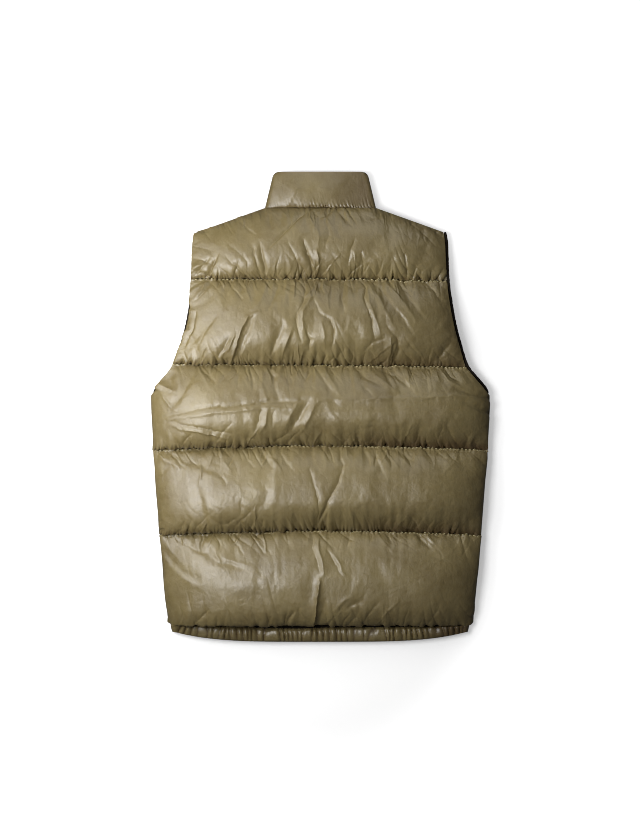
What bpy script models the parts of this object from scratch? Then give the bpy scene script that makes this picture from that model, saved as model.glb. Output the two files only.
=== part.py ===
"""A padded vest with a stand collar and a front zip, laid flat on its front with the back uppermost.

Metres. +X is the wearer's right, +Y runs to the collar and +Z is up from the surface the vest lies on.
The origin is on that surface, at the middle of the vest's width and length.

Every cloth piece is a slab: a grid of cells with a second layer joined on by its rim. A place function
then puts each point of the slab where the sewn and filled cloth lies.
"""

import math
from collections import namedtuple

import bmesh
import bpy
from mathutils import Vector

# Lengths along Y: where each seam of the body lies.
COLLAR_TOP = 0.3760
NECK_SEAM = 0.3184
SHOULDER_TIP = 0.2800
UNDERARM = 0.0240
HEM_SEAM = -0.3460
HEM_BOTTOM = -0.3760

# Half widths, from the middle of the back.
NECK_HALF_WIDTH = 0.0888
COLLAR_TOP_HALF_WIDTH = 0.0750
HEM_BAND_HALF_WIDTH = 0.2345
ZIP_EDGE = 0.0100

# Heights and thicknesses.
LINING_GAP = 0.0004
SEAM_GAP = 0.0003
SEAM_THICKNESS = 0.0030
SIDE_DROP = 0.0100
SIDE_ROUNDING = 0.0600
ZIP_ROUNDING = 0.0300
BINDING_RADIUS = 0.0022
BINDING_OFFSET = 0.0027
BINDING_GAP = 0.0009
TAPE_THICKNESS = 0.0010
CHAIN_THICKNESS = 0.0026
CHAIN_HALF_WIDTH = 0.0030

# How far the two layers part at the openings.
FRONT_SCOOP = 0.0750
NECK_RISE = 0.0068
NECK_RISE_START = 0.2250
NECK_SINK = 0.0140
NECK_SINK_REACH = 0.1100
ARMHOLE_PARTING = 0.0036
ARMHOLE_REACH = 0.0350
HEM_PARTING = 0.0036
HEM_REACH = 0.0500
FOLD_SHARPNESS = 2.6

# The collar is a flattened tube.
COLLAR_LEVEL = 0.0166
COLLAR_SPREAD = 0.0115
COLLAR_LOFT = 0.0080
COLLAR_SEAM_THICKNESS = 0.0040

# The hem band is a flattened tube of elastic casing, in five lengths: the back, the two sides and the two
# fronts.
BAND_THICKNESS = 0.0030
BAND_FOLD_SHARPNESS = 6.0
BAND_CORNER_RISE = 0.0160
BAND_LEVELS = (0.0072, 0.0120)
BAND_SPREAD = 0.0050
BAND_SIDE = 1 / 24  # how far a side length reaches from its fold, as a share of the way round
BAND_JOIN = 0.0005  # half of the gap between two lengths, as a share of the way round

# The zip, which runs down the middle of the front.
ZIP_TOP = NECK_SEAM - FRONT_SCOOP + (COLLAR_TOP - NECK_SEAM) - 0.0020
SLIDER_LENGTH = 0.0130
SLIDER_WIDTH = 0.0100
SLIDER_PLATE = 0.0013
SLIDER_GAP = CHAIN_THICKNESS + 0.0006
SLIDER_POST_WIDTH = 0.0036
SLIDER_Y = ZIP_TOP - SLIDER_LENGTH / 2
CHAIN_TOP = ZIP_TOP - 0.0040
BRIDGE_CLEARANCE = 0.0022
BRIDGE_THICKNESS = 0.0014
BRIDGE_WIDTH = 0.0020
BRIDGE_LEG = 0.0016
BRIDGE_REACH = 0.0044
PULL_THICKNESS = 0.0012
PULL_WIDTH = 0.0064
PULL_LENGTH = 0.0270
PULL_WAIST_WIDTH = 0.0048
PULL_WAIST_DROP = 0.0030
PULL_BAR = 0.0011
PULL_EYE_WIDTH = 0.0034
PULL_EYE_LENGTH = 0.0075
ZIP_BOX_LENGTH = 0.0100
ZIP_BOX_WIDTH = 0.0090
ZIP_BOX_THICKNESS = 0.0036

Outline = namedtuple("Outline", "y half_width")
Level = namedtuple("Level", "y height")
Row = namedtuple("Row", "name low high back_loft front_loft lean")

# The outline of the flat body, from the shoulder tip to the hem.
OUTLINE = (
    Outline(-0.352, 0.2435),
    Outline(-0.277, 0.2510),
    Outline(-0.200, 0.2575),
    Outline(-0.149, 0.2615),
    Outline(-0.066, 0.2675),
    Outline(0.016, 0.2710),
    Outline(0.026, 0.2690),
    Outline(0.035, 0.2635),
    Outline(0.046, 0.2540),
    Outline(0.067, 0.2375),
    Outline(0.107, 0.2245),
    Outline(0.139, 0.2165),
    Outline(0.171, 0.2110),
    Outline(0.208, 0.2065),
    Outline(0.262, 0.2045),
    Outline(0.280, 0.2020),
)

# The height of the plane where the front and back linings meet, along the middle.
LEVELS = (
    Level(-0.376, 0.0080),
    Level(-0.350, 0.0125),
    Level(-0.320, 0.0200),
    Level(-0.275, 0.0245),
    Level(-0.200, 0.0250),
    Level(0.208, 0.0250),
    Level(0.276, 0.0210),
    Level(0.318, 0.0170),
    Level(0.376, 0.0170),
)

# The quilted rows, from the yoke to the hem. The lofts are how far the filled cloth stands off its
# lining. A lean under 1 puts the fullest line of the row below its middle, where the down has sunk.
ROWS = (
    Row("yoke", 0.2055, None, 0.0250, 0.0260, 0.66),
    Row("baffle_1", 0.0670, 0.2055, 0.0330, 0.0300, 0.66),
    Row("baffle_2", -0.0655, 0.0670, 0.0340, 0.0310, 0.66),
    Row("baffle_3", -0.2000, -0.0655, 0.0350, 0.0310, 0.66),
    Row("baffle_4", HEM_SEAM, -0.2000, 0.0340, 0.0310, 0.70),
)
FULLNESS = 0.62
HEM_OVERHANG = 0.0065
OVERHANG_SHARE = 0.35

# The cells of a panel's grid. The front's cells along the neck match the collar's columns, a quarter
# of which lie between one fold and the zip.
BACK_NECK_CELLS, BACK_SHOULDER_CELLS = 3, 5
FRONT_NECK_CELLS, FRONT_SHOULDER_CELLS = 6, 4
ROW_CELLS = 8
COLLAR_COLUMNS, COLLAR_ROWS = 4 * FRONT_NECK_CELLS, 6
BAND_COLUMNS, BAND_ROWS = 48, 2
ZIP_CELLS = 24

SHELL_COLOUR = (0.235, 0.205, 0.105)
BINDING_COLOUR = (0.012, 0.011, 0.010)
TAPE_COLOUR = (0.060, 0.052, 0.030)
METAL_COLOUR = (0.180, 0.165, 0.130)


# ---------------------------------------------------------------- curves and levels


def smooth(start, end, value):
    """0 up to start, 1 past end, and an S curve between them."""
    share = min(max((value - start) / (end - start), 0.0), 1.0)
    return share * share * (3 - 2 * share)


def through(table, at):
    """The value at `at` of a smooth curve through the table's points, which doesn't overshoot them."""
    if at <= table[0][0]:
        return table[0][1]
    if at >= table[-1][0]:
        return table[-1][1]
    steps = [(b[1] - a[1]) / (b[0] - a[0]) for a, b in zip(table, table[1:])]
    slopes = [steps[0]]
    for before, after in zip(steps, steps[1:]):
        slopes.append(2 * before * after / (before + after) if before * after > 0 else 0.0)
    slopes.append(steps[-1])
    i = next(k for k in range(len(steps)) if at <= table[k + 1][0])
    span = table[i + 1][0] - table[i][0]
    t = (at - table[i][0]) / span
    return (
        table[i][1] * (1 + 2 * t) * (1 - t) ** 2
        + slopes[i] * span * t * (1 - t) ** 2
        + table[i + 1][1] * t * t * (3 - 2 * t)
        - slopes[i + 1] * span * t * t * (1 - t)
    )


def half_width(y):
    return through(OUTLINE, y)


def inside_outline(y, distance):
    """How much X it takes to come this far inside the outline, at right angles to it."""
    step = 0.002
    slope = (half_width(y + step) - half_width(y - step)) / (2 * step)
    return distance * math.sqrt(1 + slope * slope)


def centre_level(y):
    return through(LEVELS, y)


def armhole_inset(y):
    """How far a panel's edge stands inside the outline, which leaves room for the armhole's binding."""
    room = inside_outline(y, 2 * BINDING_RADIUS + BINDING_GAP)
    return room * smooth(UNDERARM - 0.006, UNDERARM + 0.004, y)


def panel_edge(y):
    """How far a panel reaches from the middle. Above the shoulder's tip it keeps the tip's width."""
    y = min(y, SHOULDER_TIP)
    return half_width(y) - armhole_inset(y)


def neck_openness(x):
    """0 at the two folds of the collar, and nearly 1 along the middle of the neck."""
    share = min(abs(x) / NECK_HALF_WIDTH, 1.0)
    return math.tanh(FOLD_SHARPNESS * math.sqrt(1 - share * share))


def front_neckline(x):
    """The scooped edge of the front at the neck."""
    share = min(max(abs(x) - ZIP_EDGE, 0.0) / (NECK_HALF_WIDTH - ZIP_EDGE), 1.0)
    return NECK_SEAM - FRONT_SCOOP * math.sqrt(1 - share * share)


def shoulder_line(x):
    share = (abs(x) - NECK_HALF_WIDTH) / (panel_edge(SHOULDER_TIP) - NECK_HALF_WIDTH)
    return NECK_SEAM + share * (SHOULDER_TIP - NECK_SEAM)


def parting(x, y):
    """Half of the gap that opens between the layers at the armholes and along the hem."""
    edge = half_width(y)
    along_armhole = (y - UNDERARM) / (SHOULDER_TIP - UNDERARM)
    armhole = math.sin(math.pi * along_armhole) if 0 < along_armhole < 1 else 0.0
    from_edge = (edge - abs(x)) / ARMHOLE_REACH
    across_hem = 1 - (abs(x) / edge) ** 6
    hem = 1 - smooth(HEM_SEAM, HEM_SEAM + HEM_REACH, y)
    return ARMHOLE_PARTING * armhole * math.exp(-from_edge * from_edge) + HEM_PARTING * hem * across_hem


def lining_level(x, y, side):
    """The height of the lining of the back (side 1) or of the front (side -1)."""
    level = centre_level(y) - SIDE_DROP * min(abs(x) / half_width(y), 1.0) ** 4
    level += side * (LINING_GAP + parting(x, y))
    if side > 0:
        return level + NECK_RISE * neck_openness(x) * smooth(NECK_RISE_START, NECK_SEAM, y)
    below_neck = smooth(0.0, NECK_SINK_REACH, front_neckline(x) - y)
    return level - NECK_SINK * neck_openness(x) * (1 - below_neck)


def bulge(share, lean):
    """The outline of a filled channel between two seams, 0 at both and 1 at its fullest."""
    return max(math.sin(math.pi * share**lean), 0.0) ** FULLNESS


def rounding(distance, reach):
    """The quarter ellipse by which a filled edge falls away over its last stretch."""
    share = min(max(distance / reach, 0.0), 1.0)
    return math.sqrt(1 - (1 - share) ** 2)


# ---------------------------------------------------------------- slabs and meshes


def eased(count):
    """Shares from 0 to 1 that lie closer together at both ends."""
    return [0.5 - 0.5 * math.cos(math.pi * k / count) for k in range(count + 1)]


def even(count):
    return [k / count for k in range(count + 1)]


def closing(count):
    """Shares from 0 to 1 that lie closer together toward 1, like even turns of a circle seen edge on."""
    return [math.sin(math.pi / 2 * k / count) for k in range(count + 1)]


def half_panel(neck_cells, shoulder_cells, neck_share):
    """Shares from the middle to the side of a panel, with one at the corner where neck meets shoulder."""
    neck = [neck_share * s for s in closing(neck_cells)]
    shoulder = [neck_share + (1 - neck_share) * s for s in closing(shoulder_cells)]
    return neck + shoulder[1:]


def material(name, colour, roughness, metallic=0.0):
    made = bpy.data.materials.new(name)
    made.use_nodes = True
    shader = made.node_tree.nodes["Principled BSDF"]
    shader.inputs["Base Color"].default_value = (*colour, 1.0)
    shader.inputs["Roughness"].default_value = roughness
    shader.inputs["Metallic"].default_value = metallic
    return made


def add_object(name, mesh, finish):
    mesh.materials.append(finish)
    made = bpy.data.objects.new(name, mesh)
    vest.objects.link(made)
    return made


def slab(name, across, along, place, finish):
    """Makes a closed piece of cloth. place(u, v, layer) takes a share of the way across, one along, and
    0 for the lining or 1 for the shell."""
    columns, rows = len(across) - 1, len(along) - 1
    bm = bmesh.new()
    bmesh.ops.create_grid(bm, x_segments=columns, y_segments=rows, size=0.5)
    bmesh.ops.translate(bm, verts=bm.verts, vec=(0.5, 0.5, 0.0))
    raised = bmesh.ops.extrude_face_region(bm, geom=bm.faces[:], use_keep_orig=True)
    new_points = [g for g in raised["geom"] if isinstance(g, bmesh.types.BMVert)]
    bmesh.ops.translate(bm, verts=new_points, vec=(0.0, 0.0, 1.0))
    for point in bm.verts:
        u = across[round(point.co.x * columns)]
        v = along[round(point.co.y * rows)]
        point.co = place(u, v, round(point.co.z))
    bmesh.ops.recalc_face_normals(bm, faces=bm.faces)
    if bm.calc_volume(signed=True) < 0:
        bmesh.ops.reverse_faces(bm, faces=bm.faces)
    mesh = bpy.data.meshes.new(name)
    bm.to_mesh(mesh)
    bm.free()
    made = add_object(name, mesh, finish)
    if min(len(across), len(along)) > 2:
        made.data.shade_smooth()
        made.data.set_sharp_from_angle(angle=math.radians(50))
    return made


def block(name, centre, size):
    """A box, by its middle and its size."""
    bm = bmesh.new()
    bmesh.ops.create_cube(bm, size=1.0)
    bmesh.ops.scale(bm, vec=size, verts=bm.verts)
    mesh = bpy.data.meshes.new(name)
    bm.to_mesh(mesh)
    bm.free()
    made = bpy.data.objects.new(name, mesh)
    made.location = centre
    return made


def combine(target, helper, operation):
    """Joins a helper to a piece, or cuts it away. The helper goes to a collection of its own."""
    helpers.objects.link(helper)
    helper.hide_render = True
    helper.display_type = "WIRE"
    step = target.modifiers.new(helper.name, "BOOLEAN")
    step.operation = operation
    step.object = helper


# ---------------------------------------------------------------- body


def row_limits(row, top_edge):
    """The Y of a row's two seams at a given X of its upper edge."""
    high = row.high if row.high is not None else top_edge
    return row.low + SEAM_GAP / 2, high - SEAM_GAP / 2


def row_point(row, x_of, top_edge, v, layer, side):
    """A point of a quilted row. x_of gives X from Y, and side is 1 for the back and -1 for the front."""
    low, high = row_limits(row, top_edge)
    y = low + v * (high - low)
    x = x_of(y)
    height = lining_level(x, y, side)
    if layer == 0:
        return x, y, height
    loft = row.back_loft if side > 0 else row.front_loft
    full = bulge(v, row.lean) * rounding(half_width(y) - abs(x), SIDE_ROUNDING)
    if side < 0:
        full *= rounding(abs(x) - ZIP_EDGE, ZIP_ROUNDING)
    if row.low == HEM_SEAM:
        y -= HEM_OVERHANG * math.sqrt(max(math.sin(math.pi * min(v / OVERHANG_SHARE, 1.0)), 0.0))
    return x, y, max(height + side * (SEAM_THICKNESS + loft * full), 0.0)


def back_row(row):
    tip = panel_edge(SHOULDER_TIP)
    half = half_panel(BACK_NECK_CELLS, BACK_SHOULDER_CELLS, NECK_HALF_WIDTH / tip)
    across = [-u for u in reversed(half[1:])] + half

    def place(u, v, layer):
        top_x = abs(u) * tip
        top_edge = NECK_SEAM if top_x <= NECK_HALF_WIDTH else shoulder_line(top_x)
        return row_point(row, lambda y: u * panel_edge(y), top_edge, v, layer, 1)

    slab("back_" + row.name, across, eased(ROW_CELLS), place, shell_cloth)


def front_row(row, name, wearer_side):
    tip = panel_edge(SHOULDER_TIP)
    neck_share = (NECK_HALF_WIDTH - ZIP_EDGE) / (tip - ZIP_EDGE)
    across = half_panel(FRONT_NECK_CELLS, FRONT_SHOULDER_CELLS, neck_share)

    def place(u, v, layer):
        def x_of(y):
            return wearer_side * (ZIP_EDGE + u * (panel_edge(y) - ZIP_EDGE))

        top_x = ZIP_EDGE + u * (tip - ZIP_EDGE)
        top_edge = front_neckline(top_x) if top_x < NECK_HALF_WIDTH else shoulder_line(top_x)
        return row_point(row, x_of, top_edge, v, layer, -1)

    slab(f"front_{name}_{row.name}", across, eased(ROW_CELLS), place, shell_cloth)


# ---------------------------------------------------------------- collar and hem band


def tube_x(turn, half):
    """X round a flattened tube that is open at the zip. A turn of 0 is the right fold and 90 degrees the
    middle of the back."""
    if math.sin(turn) >= 0:
        return half * math.cos(turn)
    return math.copysign(ZIP_EDGE + (half - ZIP_EDGE) * abs(math.cos(turn)), math.cos(turn))


def tube_turn(u):
    return math.radians(-90 + 360 * min(max(u, 1e-6), 1 - 1e-6))


def collar_outside(u, v):
    """The outer face of the collar before it is filled. Its lower edge meets the necklines."""
    turn = tube_turn(u)
    half = NECK_HALF_WIDTH + v * (COLLAR_TOP_HALF_WIDTH - NECK_HALF_WIDTH)
    y = NECK_SEAM + SEAM_GAP + v * (COLLAR_TOP - NECK_SEAM - SEAM_GAP)
    y -= FRONT_SCOOP * max(-math.sin(turn), 0.0)
    spread = math.tanh(FOLD_SHARPNESS * math.sin(turn))
    return Vector((tube_x(turn, half), y, COLLAR_LEVEL + COLLAR_SPREAD * spread))


def moved_out(surface, u, v, distance):
    """A point of a tube's surface, moved outward at right angles to Y, so that its ends stay in place."""
    step = 0.002
    around = surface(min(u + step, 1.0), v) - surface(max(u - step, 0.0), v)
    return surface(u, v) + Vector((-around.z, 0.0, around.x)).normalized() * -distance


def collar():
    def place(u, v, layer):
        across = math.sin(tube_turn(u))
        edge = abs(collar_outside(u, v).x) if across < 0 else 1.0
        full = math.sin(math.pi * v) * across**2 * rounding(edge - ZIP_EDGE, ZIP_ROUNDING)
        distance = (layer - 1) * COLLAR_SEAM_THICKNESS + (layer - 0.5) * COLLAR_LOFT * full
        point = moved_out(collar_outside, u, v, distance)
        return point.x, point.y, max(point.z, 0.0)

    slab("collar", even(COLLAR_COLUMNS), eased(COLLAR_ROWS), place, shell_cloth)


def band_middle(u, v):
    """The middle of the hem band's thickness, from its lower edge to the seam."""
    turn = tube_turn(u)
    x = tube_x(turn, HEM_BAND_HALF_WIDTH)
    bottom = HEM_BOTTOM + BAND_CORNER_RISE * (abs(x) / HEM_BAND_HALF_WIDTH) ** 4
    y = bottom + v * (HEM_SEAM - SEAM_GAP - bottom)
    level = BAND_LEVELS[0] + v * (BAND_LEVELS[1] - BAND_LEVELS[0])
    return Vector((x, y, level + BAND_SPREAD * math.tanh(BAND_FOLD_SHARPNESS * math.sin(turn))))


def hem_band(name, start, end):
    """A length of the band, from one share of the way round it to another."""
    columns = round(BAND_COLUMNS * (end - start))

    def place(u, v, layer):
        return moved_out(band_middle, start + u * (end - start), v, (layer - 0.5) * BAND_THICKNESS)

    slab("hem_band_" + name, even(columns), even(BAND_ROWS), place, shell_cloth)


# ---------------------------------------------------------------- armhole bindings


def binding_stations():
    """The Y of the points of each armhole's edge, which are the points of the panels there."""
    found = set()
    for row in ROWS:
        low, high = row_limits(row, SHOULDER_TIP)
        found |= {low + v * (high - low) for v in eased(ROW_CELLS)}
    return [y for y in sorted(found) if UNDERARM < y < SHOULDER_TIP - BINDING_OFFSET]


def armhole_binding(name, wearer_side):
    """A loop of tube along the back's edge of an armhole and back along the front's."""
    stations = binding_stations()

    def edge_point(y, side, past_end=0.0):
        x = half_width(y) - inside_outline(y, BINDING_RADIUS)
        height = centre_level(y) - SIDE_DROP + side * (parting(x, y) + BINDING_OFFSET)
        return wearer_side * x, y + past_end, height

    points = [edge_point(y, 1) for y in stations]
    points.append(edge_point(stations[-1], 0, BINDING_OFFSET / 2))
    points += [edge_point(y, -1) for y in reversed(stations)]
    points.append(edge_point(stations[0], 0, -BINDING_OFFSET / 2))
    curve = bpy.data.curves.new(name, "CURVE")
    curve.dimensions = "3D"
    curve.bevel_depth = BINDING_RADIUS
    curve.bevel_resolution = 1
    spline = curve.splines.new("POLY")
    spline.points.add(len(points) - 1)
    for target, point in zip(spline.points, points):
        target.co = (*point, 1.0)
    spline.use_cyclic_u = True
    curve.materials.append(binding_cloth)
    vest.objects.link(bpy.data.objects.new(name, curve))


# ---------------------------------------------------------------- zip


def zip_level(y):
    """The height of the zip's middle plane, which is the middle of the cloth beside it."""
    neckline = NECK_SEAM - FRONT_SCOOP
    at_collar = COLLAR_LEVEL - COLLAR_SPREAD * math.tanh(FOLD_SHARPNESS) + COLLAR_SEAM_THICKNESS / 2
    if y >= neckline:
        return at_collar
    on_body = lining_level(ZIP_EDGE, y, -1) - SEAM_THICKNESS / 2
    above = smooth(neckline - 0.030, neckline, y)
    below = 1 - smooth(HEM_SEAM, HEM_SEAM + 0.030, y)
    at_band = band_middle(0.0, min((y - HEM_BOTTOM) / (HEM_SEAM - HEM_BOTTOM), 1.0)).z
    return on_body * (1 - above - below) + at_collar * above + at_band * below


def zip_strip(name, low, high, inner, outer, thickness, finish):
    def place(u, v, layer):
        y = low + v * (high - low)
        return inner + u * (outer - inner), y, zip_level(y) + (layer - 0.5) * thickness

    slab(name, even(1), even(ZIP_CELLS), place, finish)


def zip_tapes_and_chain():
    inner = CHAIN_HALF_WIDTH + SEAM_GAP
    outer = ZIP_EDGE - SEAM_GAP
    low = HEM_BOTTOM + ZIP_BOX_LENGTH + SEAM_GAP
    for name, wearer_side in (("left", -1), ("right", 1)):
        ends = sorted((wearer_side * inner, wearer_side * outer))
        zip_strip("zip_tape_" + name, low, ZIP_TOP, *ends, TAPE_THICKNESS, zip_tape_cloth)
    zip_strip("zip_chain", low, CHAIN_TOP, -CHAIN_HALF_WIDTH, CHAIN_HALF_WIDTH, CHAIN_THICKNESS, zip_teeth)


def zip_box():
    y = HEM_BOTTOM + ZIP_BOX_LENGTH / 2
    made = block("zip_box", (0, y, zip_level(y)), (ZIP_BOX_WIDTH, ZIP_BOX_LENGTH, ZIP_BOX_THICKNESS))
    made.data.materials.append(zip_metal)
    vest.objects.link(made)


def zip_slider():
    """Two plates that run on the teeth, joined at their upper end, with a bridge that carries the pull."""
    level = zip_level(SLIDER_Y)
    body_height = SLIDER_GAP + 2 * SLIDER_PLATE
    made = block("zip_slider", (0, SLIDER_Y, level), (SLIDER_WIDTH, SLIDER_LENGTH, body_height))
    made.data.materials.append(zip_metal)
    vest.objects.link(made)
    slot = (SLIDER_WIDTH + 0.004, SLIDER_LENGTH + 0.004, SLIDER_GAP)
    combine(made, block("slider_slot", (0, SLIDER_Y, level), slot), "DIFFERENCE")
    post_length = ZIP_TOP - CHAIN_TOP - SEAM_GAP
    post = (SLIDER_POST_WIDTH, post_length, SLIDER_GAP + 0.0010)
    combine(made, block("slider_post", (0, ZIP_TOP - post_length / 2, level), post), "UNION")
    outer_face = level - body_height / 2
    bar_z = outer_face - BRIDGE_CLEARANCE - BRIDGE_THICKNESS / 2
    bar = (BRIDGE_WIDTH, 2 * BRIDGE_REACH, BRIDGE_THICKNESS)
    combine(made, block("slider_bridge_bar", (0, SLIDER_Y, bar_z), bar), "UNION")
    top = outer_face + SLIDER_PLATE / 2
    leg = (BRIDGE_WIDTH, BRIDGE_LEG, top - bar_z)
    for end, name in ((-1, "lower"), (1, "upper")):
        leg_y = SLIDER_Y + end * (BRIDGE_REACH - BRIDGE_LEG / 2)
        combine(made, block(f"slider_bridge_{name}_leg", (0, leg_y, (top + bar_z) / 2), leg), "UNION")


def zip_pull():
    """A flat tab with an eye at one end. The eye's closed end lies in the bridge and is the hinge."""
    empty = bpy.data.objects.new("zip_pull_hinge", None)
    outer_face = zip_level(SLIDER_Y) - SLIDER_GAP / 2 - SLIDER_PLATE
    empty.location = (0, SLIDER_Y, outer_face - BRIDGE_CLEARANCE / 2)
    vest.objects.link(empty)
    curve = bpy.data.curves.new("zip_pull", "CURVE")
    curve.dimensions = "2D"
    curve.fill_mode = "BOTH"
    curve.extrude = PULL_THICKNESS / 2
    half, eye_half = PULL_WIDTH / 2, PULL_EYE_WIDTH / 2
    bar_top, bar_foot = PULL_BAR / 2, -PULL_BAR / 2
    waist_y, round_y = -PULL_EYE_LENGTH - PULL_WAIST_DROP, half - PULL_LENGTH
    left_side = [(-half, bar_top), (-half, -PULL_EYE_LENGTH), (-PULL_WAIST_WIDTH / 2, waist_y)]
    round_end = [
        (half * math.cos(math.radians(angle)), round_y + half * math.sin(math.radians(angle)))
        for angle in range(180, 361, 30)
    ]
    outline = left_side + round_end + [(-x, y) for x, y in reversed(left_side)]
    eye_foot = -PULL_EYE_LENGTH + PULL_BAR
    eye = [(-eye_half, bar_foot), (eye_half, bar_foot), (eye_half, eye_foot), (-eye_half, eye_foot)]
    for ring in (outline, eye):
        spline = curve.splines.new("POLY")
        spline.points.add(len(ring) - 1)
        for target, (x, y) in zip(spline.points, ring):
            target.co = (x, y, 0, 1)
        spline.use_cyclic_u = True
    flat = bpy.data.objects.new("zip_pull_outline", curve)
    vest.objects.link(flat)
    bpy.context.view_layer.update()
    graph = bpy.context.evaluated_depsgraph_get()
    mesh = bpy.data.meshes.new_from_object(flat.evaluated_get(graph))
    bpy.data.objects.remove(flat)
    bm = bmesh.new()
    bm.from_mesh(mesh)
    bmesh.ops.remove_doubles(bm, verts=bm.verts, dist=0.00001)
    bm.to_mesh(mesh)
    bm.free()
    mesh.materials.clear()
    pull = add_object("zip_pull", mesh, zip_metal)
    pull.parent = empty


# ---------------------------------------------------------------- the vest

for old in list(bpy.data.objects):
    bpy.data.objects.remove(old)

vest = bpy.data.collections.new("puffer_vest")
helpers = bpy.data.collections.new("helpers")
bpy.context.scene.collection.children.link(vest)
bpy.context.scene.collection.children.link(helpers)

shell_cloth = material("shell_cloth", SHELL_COLOUR, 0.35)
binding_cloth = material("binding_cloth", BINDING_COLOUR, 0.8)
zip_tape_cloth = material("zip_tape_cloth", TAPE_COLOUR, 0.85)
zip_teeth = material("zip_teeth", TAPE_COLOUR, 0.45)
zip_metal = material("zip_metal", METAL_COLOUR, 0.4, 1.0)

for quilted_row in ROWS:
    back_row(quilted_row)
    front_row(quilted_row, "left", -1)
    front_row(quilted_row, "right", 1)
collar()
band_joins = [0.25 - BAND_SIDE, 0.25 + BAND_SIDE, 0.75 - BAND_SIDE, 0.75 + BAND_SIDE]
hem_band("front_right", 0.0, band_joins[0] - BAND_JOIN)
hem_band("side_right", band_joins[0] + BAND_JOIN, band_joins[1] - BAND_JOIN)
hem_band("back", band_joins[1] + BAND_JOIN, band_joins[2] - BAND_JOIN)
hem_band("side_left", band_joins[2] + BAND_JOIN, band_joins[3] - BAND_JOIN)
hem_band("front_left", band_joins[3] + BAND_JOIN, 1.0)
armhole_binding("armhole_binding_left", -1)
armhole_binding("armhole_binding_right", 1)
zip_tapes_and_chain()
zip_box()
zip_slider()
zip_pull()
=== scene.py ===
import math

import bpy
import numpy as np
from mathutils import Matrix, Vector


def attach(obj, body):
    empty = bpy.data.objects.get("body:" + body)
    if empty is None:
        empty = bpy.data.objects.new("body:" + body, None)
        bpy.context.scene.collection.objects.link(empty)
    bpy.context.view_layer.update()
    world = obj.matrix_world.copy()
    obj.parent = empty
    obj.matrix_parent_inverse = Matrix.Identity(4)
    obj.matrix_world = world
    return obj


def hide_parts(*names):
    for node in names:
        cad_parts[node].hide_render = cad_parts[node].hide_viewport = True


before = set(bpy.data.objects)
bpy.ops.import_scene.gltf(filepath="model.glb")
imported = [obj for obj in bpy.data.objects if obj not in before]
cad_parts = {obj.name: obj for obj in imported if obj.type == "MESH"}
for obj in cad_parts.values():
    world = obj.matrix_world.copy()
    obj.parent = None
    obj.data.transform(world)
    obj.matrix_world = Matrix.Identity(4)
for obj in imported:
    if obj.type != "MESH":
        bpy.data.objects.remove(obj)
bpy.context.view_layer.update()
print("CAD frame loaded:", len(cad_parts), "nodes")

# the vest's measures, in metres
vest = {
    "collarTop": 0.3760,
    "neckSeam": 0.3184,
    "shoulderTip": 0.2800,
    "underarm": 0.0240,
    "hemSeam": -0.3460,
    "hemBottom": -0.3760,
    "neckHalf": 0.0888,
    "collarTopHalf": 0.0750,
    "bandHalf": 0.2345,
    "zipEdge": 0.0100,
    "liningGap": 0.0004,
    "seamGap": 0.0001,
    "seamThickness": 0.0030,
    "sideDrop": 0.0100,
    "sideRounding": 0.0950,
    "crown": 0.18,  # how much less full the rows are at the sides than in the middle
    "zipRounding": 0.0300,
    "frontScoop": 0.0750,
    "neckRise": 0.0068,
    "neckSink": 0.0140,
    "armholeParting": 0.0036,
    "hemParting": 0.0036,
    "foldSharpness": 2.6,
    "bindingRoom": 0.0053,  # the binding's width and the gap beside it
}

# y and half width of the flat body, from the hem to the shoulder's tip
outline = (
    (-0.352, 0.2435), (-0.277, 0.2510), (-0.200, 0.2575), (-0.149, 0.2615), (-0.066, 0.2675), (0.016, 0.2710),
    (0.026, 0.2690), (0.035, 0.2635), (0.046, 0.2540), (0.067, 0.2375), (0.107, 0.2245), (0.139, 0.2165),
    (0.171, 0.2110), (0.208, 0.2065), (0.262, 0.2045), (0.280, 0.2020),
)

# y and height of the plane where the front and back linings meet
levels = (
    (-0.376, 0.0080), (-0.350, 0.0125), (-0.320, 0.0200), (-0.275, 0.0245), (-0.200, 0.0250), (0.208, 0.0250),
    (0.276, 0.0210), (0.318, 0.0170), (0.376, 0.0170),
)

# Each row from the hem up: the y of its lower seam at the left end, the middle and the right end, how far
# the filled cloth stands up at the back and at the front, where its fullest line is, how steeply it rises from
# its two seams, how dark the painted shade in the folds above its lower seam is, and how much of the simulated
# folds it keeps.
rowValues = ("low", "loft", "frontLoft", "fullest", "rise", "fall", "gathers", "folds")
rows = {
    "baffle_4": ((-0.3460, -0.3460, -0.3460), 0.0380, 0.0310, 0.28, 0.38, 0.62, 0.12, 0.16),
    "baffle_3": ((-0.2040, -0.1973, -0.2048), 0.0410, 0.0310, 0.36, 0.78, 0.72, 0.75, 0.18),
    "baffle_2": ((-0.0680, -0.0616, -0.0688), 0.0400, 0.0310, 0.36, 0.78, 0.72, 0.9, 0.18),
    "baffle_1": ((0.0699, 0.0672, 0.0640), 0.0380, 0.0300, 0.36, 0.76, 0.72, 0.55, 0.28),
    "yoke": ((0.2054, 0.2048, 0.2016), 0.0280, 0.0260, 0.36, 0.72, 0.72, 0.0, 0.22),
}
rows = {name: dict(zip(rowValues, values)) for name, values in rows.items()}
rowNames = list(rows)


def smoothStep(start, end, value):
    share = np.clip((value - start) / (end - start), 0.0, 1.0)
    return share * share * (3 - 2 * share)


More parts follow.
